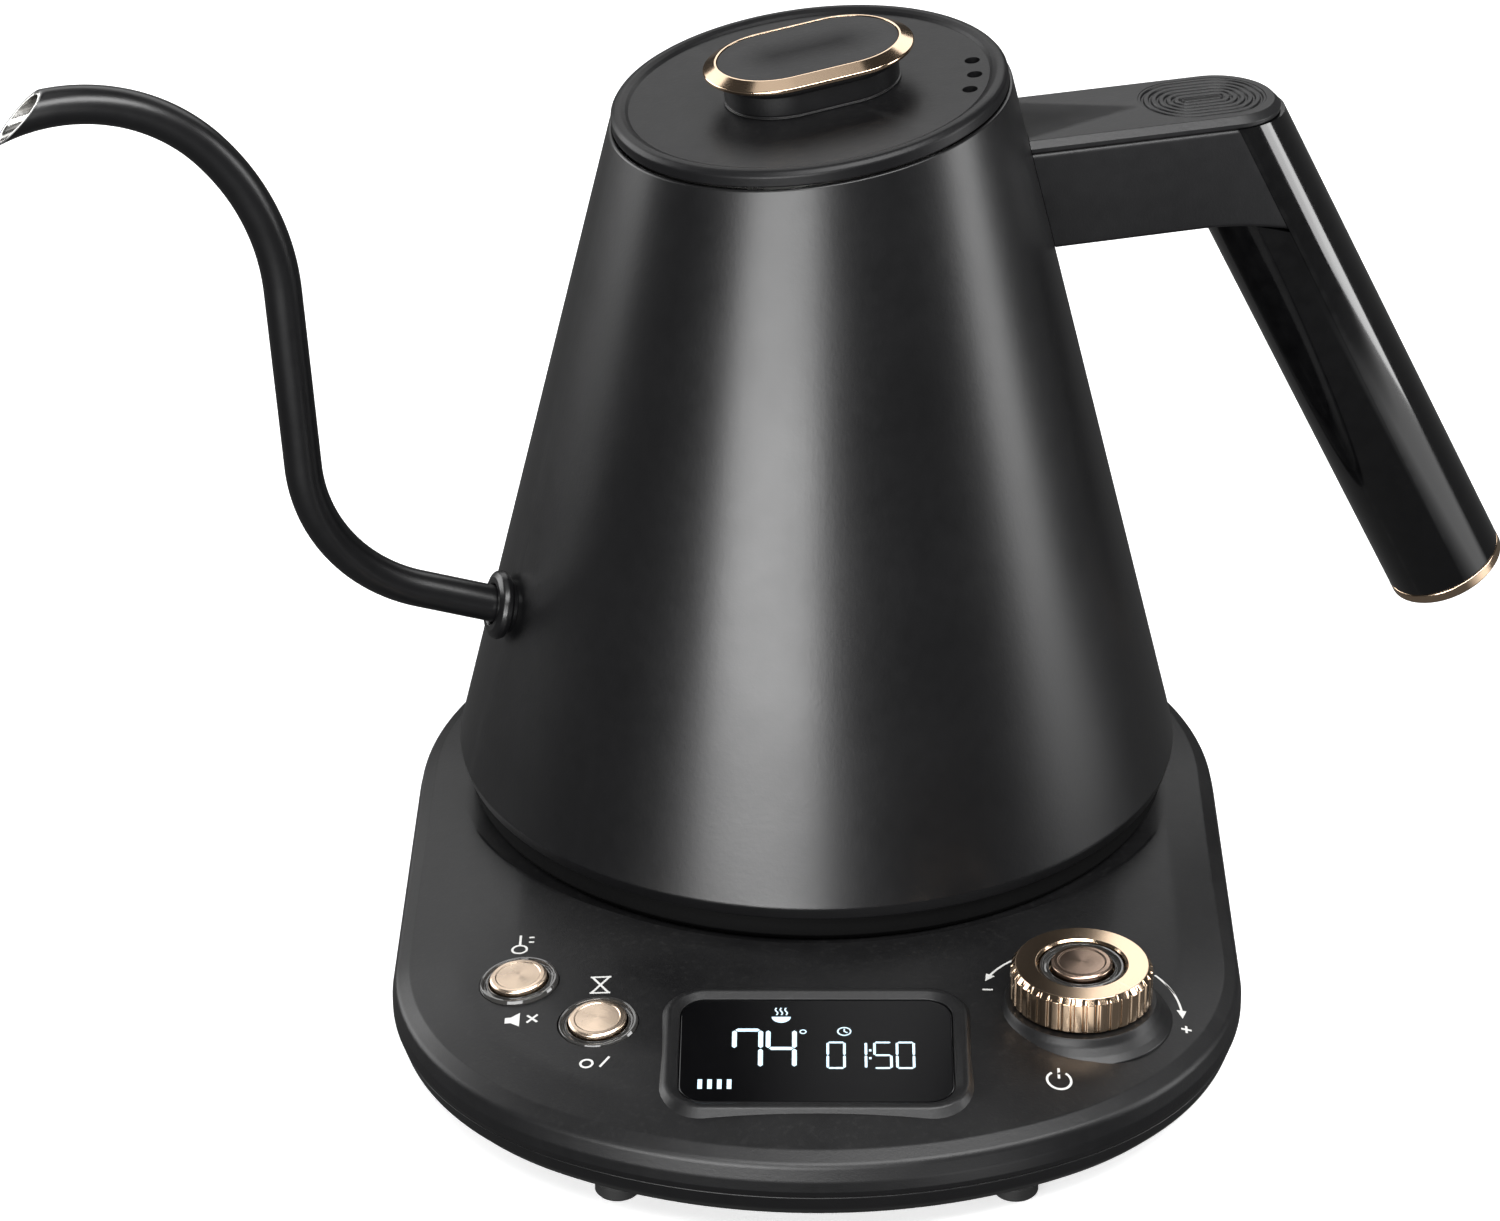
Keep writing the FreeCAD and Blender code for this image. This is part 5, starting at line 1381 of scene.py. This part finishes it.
def digit(symbol: str, x: float, y: float, height: float, width: float, thick: float) -> list[Array]:
    """Draws a seven-segment numeral from pointed bars.

    Args:
        symbol: the numeral.
        x: left side.
        y: lower side.
        height: its height.
        width: its width.
        thick: thickness of a bar.

    Returns:
        A plan outline for each lit bar.
    """
    half, h, w = thick / 2, height, width
    ends = {"a": ((0, h), (w, h)), "b": ((w, h), (w, h / 2)), "c": ((w, h / 2), (w, 0)),
            "d": ((0, 0), (w, 0)), "e": ((0, h / 2), (0, 0)), "f": ((0, h), (0, h / 2)),
            "g": ((0, h / 2), (w, h / 2))}
    bars = []
    for key in SEGMENTS[symbol]:
        a, b = (np.array(point, float) for point in ends[key])
        along = (b - a) / np.linalg.norm(b - a)
        across = np.array([-along[1], along[0]]) * half
        a, b = a + along * 0.16 * thick, b - along * 0.16 * thick
        tips = along * half
        bar = [a, a + tips + across, b - tips + across, b, b - tips - across, a + tips - across]
        bars.append(np.array(bar) + (x, y))
    return bars


@dataclass
class Display:
    """The smoked window, its opening in the top cover, the bezel round it and the lit signs."""

    y: float = -110.3
    wide: float = 51.0
    deep: float = 31.4
    corner: float = 5.0
    tilt: float = 4.0
    level: float = 23.85
    gap: float = 0.05

    def place(self) -> Place:
        """Returns the window's frame, leaning forwards."""
        return BASE_PLACE.at(0, self.y, self.level, roll=self.tilt)

    def outline(self, gap: float = 0.0) -> Outline:
        """Returns the opening's outline, or one that stands inside it by a gap."""
        return Outline.box(self.wide / 2 - gap, self.deep / 2 - gap, self.corner - gap, 10)

    def cutter(self) -> Piece:
        """Returns the solid of the recess: a straight well under a bevelled mouth."""
        return Piece("display_well", self.place()).plate(self.outline().carry(np.array(
            [(-1.5, -6), (-1.5, -1.2), (0.1, -1.2), (0.1, 0.1), (0.25, 0.35), (0.55, 0.62), (1.0, 0.85),
             (4.6, 2.4)])))

    def build(self) -> None:
        """Makes the window, the raised bezel round it and its signs."""
        Piece("display_glass", self.place()).plate(self.outline(self.gap).carry(np.array(
            [(0, -1.15), (0, -0.2), (-0.05, -0.08), (-0.15, -0.02), (-0.3, 0.0), (-0.4, 0.0)]))).make(
                DARK_GLASS, Body.BASE, ["display_lens"], "smoked_glass")
        bezel = rounded([(0.12, -1.0), (0.12, 0.15), (1.7, 1.05), (2.6, 1.0), (4.4, -1.0)],
                        [0, 0.1, 0.9, 1.2, 0], 5, None)
        Piece("display_bezel", self.place()).grid(self.outline().carry(bezel)).make(
            BASE_PLASTIC, Body.BASE, (), "black_plastic")
        signs = Piece("display_signs", self.place())
        for shape in self.signs():
            signs.prism(shape, -0.02, 0.035)
        signs.make(SEGMENT_LIGHT, Body.BASE)

    def signs(self) -> list[Array]:
        """Draws the lit signs: a steaming cup, a clock, two readings, a degree ring and four level bars.

        Each line of steam sways to the side by a sine of its own length.

        Returns:
            A plan outline for each shape.
        """
        shapes: list[Array] = []
        for number, symbol in enumerate("74"):
            shapes += digit(symbol, -15.3 + 6.3 * number, -5.0, 11.3, 4.9, 0.9)
        shapes += strips([arc_line(-2.5, 5.8, 0.55, 0, 359)], 0.25)
        for x, symbol in zip((2.1, 6.1, 10.8, 15.0), "0150"):
            shapes += digit(symbol, x, -5.3, 7.8, 3.1, 0.5)
        shapes += strips([[(10.0, -0.2), (10.0, 0.4)], [(10.0, -2.6), (10.0, -2.0)]], 0.45)
        shapes += strips([[(x, -11.6), (x, -8.8)] for x in (-21.5, -19.7, -17.9, -16.1)], 0.85)
        shapes += strips([arc_line(5.2, 5.9, 1.2, 0, 359), [(5.2, 6.7), (5.2, 5.9), (5.8, 5.5)]], 0.28)
        shapes.append(arc_line(-6.6, 10.4, 1.8, 180, 360, 17))
        wave = np.linspace(0, 1, 9)
        shapes += strips([np.stack([-6.6 + dx + 0.22 * np.sin(wave * 2 * np.pi), 11.0 + 2.2 * wave], -1)
                          for dx in (-0.9, 0.0, 0.9)], 0.28)
        return shapes


@dataclass
class Print:
    """The printed marks on the base's top: two turning arrows, signs and plain pictograms."""

    base: PowerBase
    line: float = 0.45
    scale: float = 1.4
    arrow_radius: float = 19.3
    sunk: float = 0.15
    proud: float = 0.03

    def build(self) -> None:
        """Lays each mark on the crowned top, a little proud of it."""
        marks = Piece("printed_marks", BASE_PLACE)
        for plan in self.marks():
            level = self.base.height(plan[:, 0], plan[:, 1])
            marks.prism(plan, level - self.sunk, level + self.proud)
        marks.make(PRINT_INK, Body.BASE)

    def arrow(self, first: float, last: float) -> list[Array]:
        """Draws an arrow round the dial, with its head past its last end.

        Args:
            first: angle at its start, in degrees.
            last: angle at the end of its line, in degrees.

        Returns:
            The outlines of its line and its head.
        """
        dial, reach = Dial(), self.arrow_radius
        way = math.copysign(1.0, last - first)
        head = np.radians([last, last + 7.0 * way, last])
        out = reach + np.array([0.95, 0.0, -0.95]) * way
        tip = np.stack([dial.x + out * np.cos(head), dial.y + out * np.sin(head)], -1)
        return strips([arc_line(dial.x, dial.y, reach, *sorted((first, last)))], self.line) + [tip]

    def sign(self, x: float, y: float, lines: list, solids: Sequence = ()) -> list[Array]:
        """Draws a pictogram about a point: widened lines and closed shapes.

        Args:
            x: first coordinate of the point.
            y: second coordinate of the point.
            lines: polylines, before scaling.
            solids: closed outlines, before scaling.

        Returns:
            A plan outline for each line and shape.
        """
        shapes = strips(lines, self.line / self.scale) + [np.array(shape) for shape in solids]
        return [shape * self.scale + (x, y) for shape in shapes]

    def marks(self) -> list[Array]:
        """Draws all marks: arrows and signs at the dial, and pictograms at the buttons.

        Returns:
            A plan outline for each shape.
        """
        dial, (temp, hold) = Dial(), KEYS
        shapes = self.arrow(124, 150) + self.arrow(40, 6)
        shapes += self.sign(dial.x - 17.4, dial.y + 4.6, [[(-0.7, 0), (0.7, 0)]])
        shapes += self.sign(dial.x + 19.8, dial.y - 3.4, [[(-0.7, 0), (0.7, 0)], [(0, -0.7), (0, 0.7)]])
        power = [arc_line(0, 0, 1.6, 125, 415), [(0, 0.3), (0, 2.3)]]
        shapes += self.sign(dial.x - 5.0, dial.y - 22.5, power)
        thermometer = [arc_line(0, -1.4, 1.0, 0, 359), [(0, -0.5), (0, 2.2)], [(1.2, 0.4), (1.9, 0.4)],
                       [(1.2, 1.6), (1.9, 1.6)]]
        shapes += self.sign(temp.x - 0.5, temp.y + 13.2, thermometer)
        speaker = [(-2.2, -0.6), (-1.4, -0.6), (-0.2, -1.5), (-0.2, 1.5), (-1.4, 0.6), (-2.2, 0.6)]
        shapes += self.sign(temp.x + 1.0, temp.y - 12.3,
                            [[(0.8, -0.8), (2.2, 0.8)], [(0.8, 0.8), (2.2, -0.8)]], [speaker])
        hourglass = [[(-1.4, 1.9), (1.4, 1.9)], [(-1.4, -1.9), (1.4, -1.9)], [(-1.1, 1.8), (1.1, -1.8)],
                     [(1.1, 1.8), (-1.1, -1.8)]]
        shapes += self.sign(hold.x, hold.y + 12.4, hourglass)
        ring_and_bar = [arc_line(-1.2, 0, 0.8, 0, 359), [(0.6, -0.8), (1.8, 1.2)]]
        shapes += self.sign(hold.x, hold.y - 12.3, ring_and_bar)
        return shapes


# -------------------------------------------------------------------------------------- studio
@dataclass
class Studio:
    """Floor, sky, softboxes and camera.

    Attributes:
        distance: from the camera to the point where the kettle's axis crosses its rim plane.
        elevation: height of the camera above the horizon, in degrees.
        pan: how far it turns left from that point, in degrees.
        tip: how far it turns up from that point, in degrees.
        lens: focal length on the default sensor, in millimetres.
        aim_height: height above the rim plane that the softboxes face, in metres.
        floor_reach: half the floor's width, in millimetres.
        floor_low: depth of the floor under the feet, in millimetres.
        floor_glow: the floor's own light to the camera.
        mirrored_glow: the floor's light to every other ray.
        card_at: centre of the bright patch that the dial mirrors, in metres.
        card_radius: its radius, in metres.
        card_glow: its light above the floor's at the centre.
        strip_glow: light of the strip that the cone's right side mirrors.
        sky_glow: light of the surroundings to every ray but the camera's.
    """

    distance: float = 1.0
    elevation: float = 29.4
    pan: float = 0.78
    tip: float = 1.33
    lens: float = 116.9
    aim_height: float = 0.07
    floor_reach: float = 6000.0
    floor_low: float = -0.05
    floor_glow: float = 0.6
    mirrored_glow: float = 0.1
    card_at: tuple[float, float, float] = (0.055, -0.148, 0.0)
    card_radius: float = 0.035
    card_glow: float = 3.0
    strip_glow: float = 1.3
    sky_glow: float = 0.035

    def build(self) -> None:
        """Makes the studio."""
        self.build_floor()
        self.build_sky()
        self.build_camera()
        centre = AXIS + (0.0, 0.0, self.aim_height)
        self.softbox("front_box", centre, (17.0, 9.0), 0.95, (0.62, 0.45), 5.4)
        self.softbox("low_box", centre, (17.0, -2.0), 0.95, (0.62, 0.14), 3.8)
        self.softbox("right_box", centre, (-84.0, 9.0), 0.75, (0.24, 0.5), 2.2)
        self.softbox("left_box", centre, (116.0, 14.0), 1.4, (1.0, 0.9), 11.0)
        self.softbox("rear_box", centre, (180.0, 38.0), 1.6, (2.6, 0.8), 11.5)
        self.softbox("high_box", centre, (-22.0, 54.0), 1.2, (1.3, 0.46), 20.0)
        self.softbox("top_box", centre, (110.0, 78.0), 1.3, (0.6, 0.6), 0.8)

    def build_floor(self) -> None:
        """Makes a pale floor that is bright to the camera and dim to every other ray.

        That keeps the black coats dark. Other rays also see a round patch in front of the dial, whose
        light falls off in a straight line from its centre, and a strip to the right of the base.
        """
        floor = Piece("floor", Place(np.zeros(3), np.eye(3)))
        reach = np.array([-self.floor_reach, self.floor_reach])
        corners = np.broadcast_arrays(reach[:, None], reach[None, :], self.floor_low)
        made = floor.grid(np.stack(corners, -1), False, False).mesh_object()
        material = bpy.data.materials.new("pale_floor")
        material.use_nodes = True
        n = Nodes(material.node_tree)
        where = n.add("TexCoord").outputs["Object"]
        tone = n.blend(n.noise(where, 3.0), (0.86, 0.86, 0.86, 1), (0.9, 0.9, 0.9, 1))
        seen = n.add("BsdfPrincipled", {"Base Color": tone, "Roughness": 0.9, "Specular IOR Level": 0.0,
                                        "Emission Color": WHITE, "Emission Strength": self.floor_glow})
        away = n.add("VectorMath", {0: where, 1: self.card_at}, operation="DISTANCE").outputs["Value"]
        inside = n.math("SUBTRACT", 1.0, n.math("DIVIDE", away, self.card_radius))
        card = n.math("SMOOTH_MAX", inside, 0.0, 0.2)
        east, north, _ = n.add("SeparateXYZ", {0: where}).outputs
        aside = n.math("ABSOLUTE", n.math("ADD", north, 0.03))
        strip = n.math("MULTIPLY", n.spread(east, 0.2, 0.32), n.spread(aside, 0.06, 0.11, 1.0, 0.0))
        glow = n.math("MULTIPLY_ADD", card, self.card_glow, self.mirrored_glow)
        glow = n.math("MULTIPLY_ADD", strip, self.strip_glow, glow)
        mirrored = n.add("Emission", {"Color": WHITE, "Strength": glow})
        mixed = n.by_camera(mirrored, seen)
        n.add("OutputMaterial", {"Surface": mixed})
        made.data.materials.append(material)

    def build_sky(self) -> None:
        """Makes the surroundings: white where they are seen, dim where they are mirrored."""
        world = bpy.data.worlds.new("studio")
        bpy.context.scene.world = world
        world.use_nodes = True
        n = Nodes(world.node_tree)
        white = n.add("Background", {"Color": WHITE, "Strength": 1.0})
        dim = n.add("Background", {"Color": WHITE, "Strength": self.sky_glow})
        n.add("OutputWorld", {"Surface": n.by_camera(dim, white)})

    def build_camera(self) -> None:
        """Makes the camera.

        It stands in front of the kettle, looks at the rim's centre, and is then panned about its
        own up and tipped about its own right.
        """
        lift = math.radians(self.elevation)
        back = np.array([0.0, -math.cos(lift), math.sin(lift)])
        aim = np.column_stack([[1.0, 0.0, 0.0], np.cross(back, [1.0, 0.0, 0.0]), back])
        turned = aim @ turn_matrix(pitch=self.pan) @ turn_matrix(roll=self.tip)
        camera = bpy.data.objects.new("camera", bpy.data.cameras.new("camera"))
        camera.data.lens = self.lens
        camera.data.clip_start = 0.05
        matrix = np.eye(4)
        matrix[:3, :3], matrix[:3, 3] = turned, AXIS + back * self.distance
        camera.matrix_world = Matrix(matrix.tolist())
        bpy.context.scene.collection.objects.link(camera)
        bpy.context.scene.camera = camera
        bpy.context.scene.view_settings.view_transform = "Standard"

    @staticmethod
    def softbox(name: str, centre: Array, direction: tuple[float, float], distance: float,
                size: tuple[float, float], power: float) -> None:
        """Hangs a rectangular light that faces the object.

        Args:
            name: its name.
            centre: the point that it faces.
            direction: degrees to the left of the camera's side, and degrees above the horizon.
            distance: how far it stands, in metres.
            size: its width and height, in metres.
            power: its power, in watts.
        """
        left, up = (math.radians(a) for a in direction)
        away = np.array([-math.sin(left) * math.cos(up), -math.cos(left) * math.cos(up), math.sin(up)])
        across = np.cross([0.0, 0.0, 1.0], away)
        across /= np.linalg.norm(across)
        light = bpy.data.lights.new(name, "AREA")
        light.shape, light.size, light.size_y, light.energy = "RECTANGLE", size[0], size[1], power
        made = bpy.data.objects.new(name, light)
        matrix = np.eye(4)
        matrix[:3, :3] = np.column_stack([across, np.cross(away, across), away])
        matrix[:3, 3] = centre + away * distance
        made.matrix_world = Matrix(matrix.tolist())
        made.visible_camera = False
        bpy.context.scene.collection.objects.link(made)


def dress_nodes() -> None:
    """Gives every CAD node the finish of its material slot in the record."""
    slots = {part["node"]: part["material_slot"] for part in frame["record"]["subparts"]}
    for name, node in frame["nodes"].items():
        node.data.materials.clear()
        node.data.materials.append(SLOT_FINISH[slots[name]].material())


def main() -> None:
    """Builds every sub-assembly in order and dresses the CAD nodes."""
    logging.basicConfig(level=logging.INFO, format="%(name)s %(message)s")
    Studio().build()
    cone = KettleBody()
    cone.build()
    Spout().build()
    Handle(cone).build()
    Lid().build()
    base = PowerBase()
    base.build()
    for key in KEYS:
        key.build(base)
    Dial().build()
    Display().build()
    Print(base).build()
    dress_nodes()


if __name__ == "__main__":
    main()
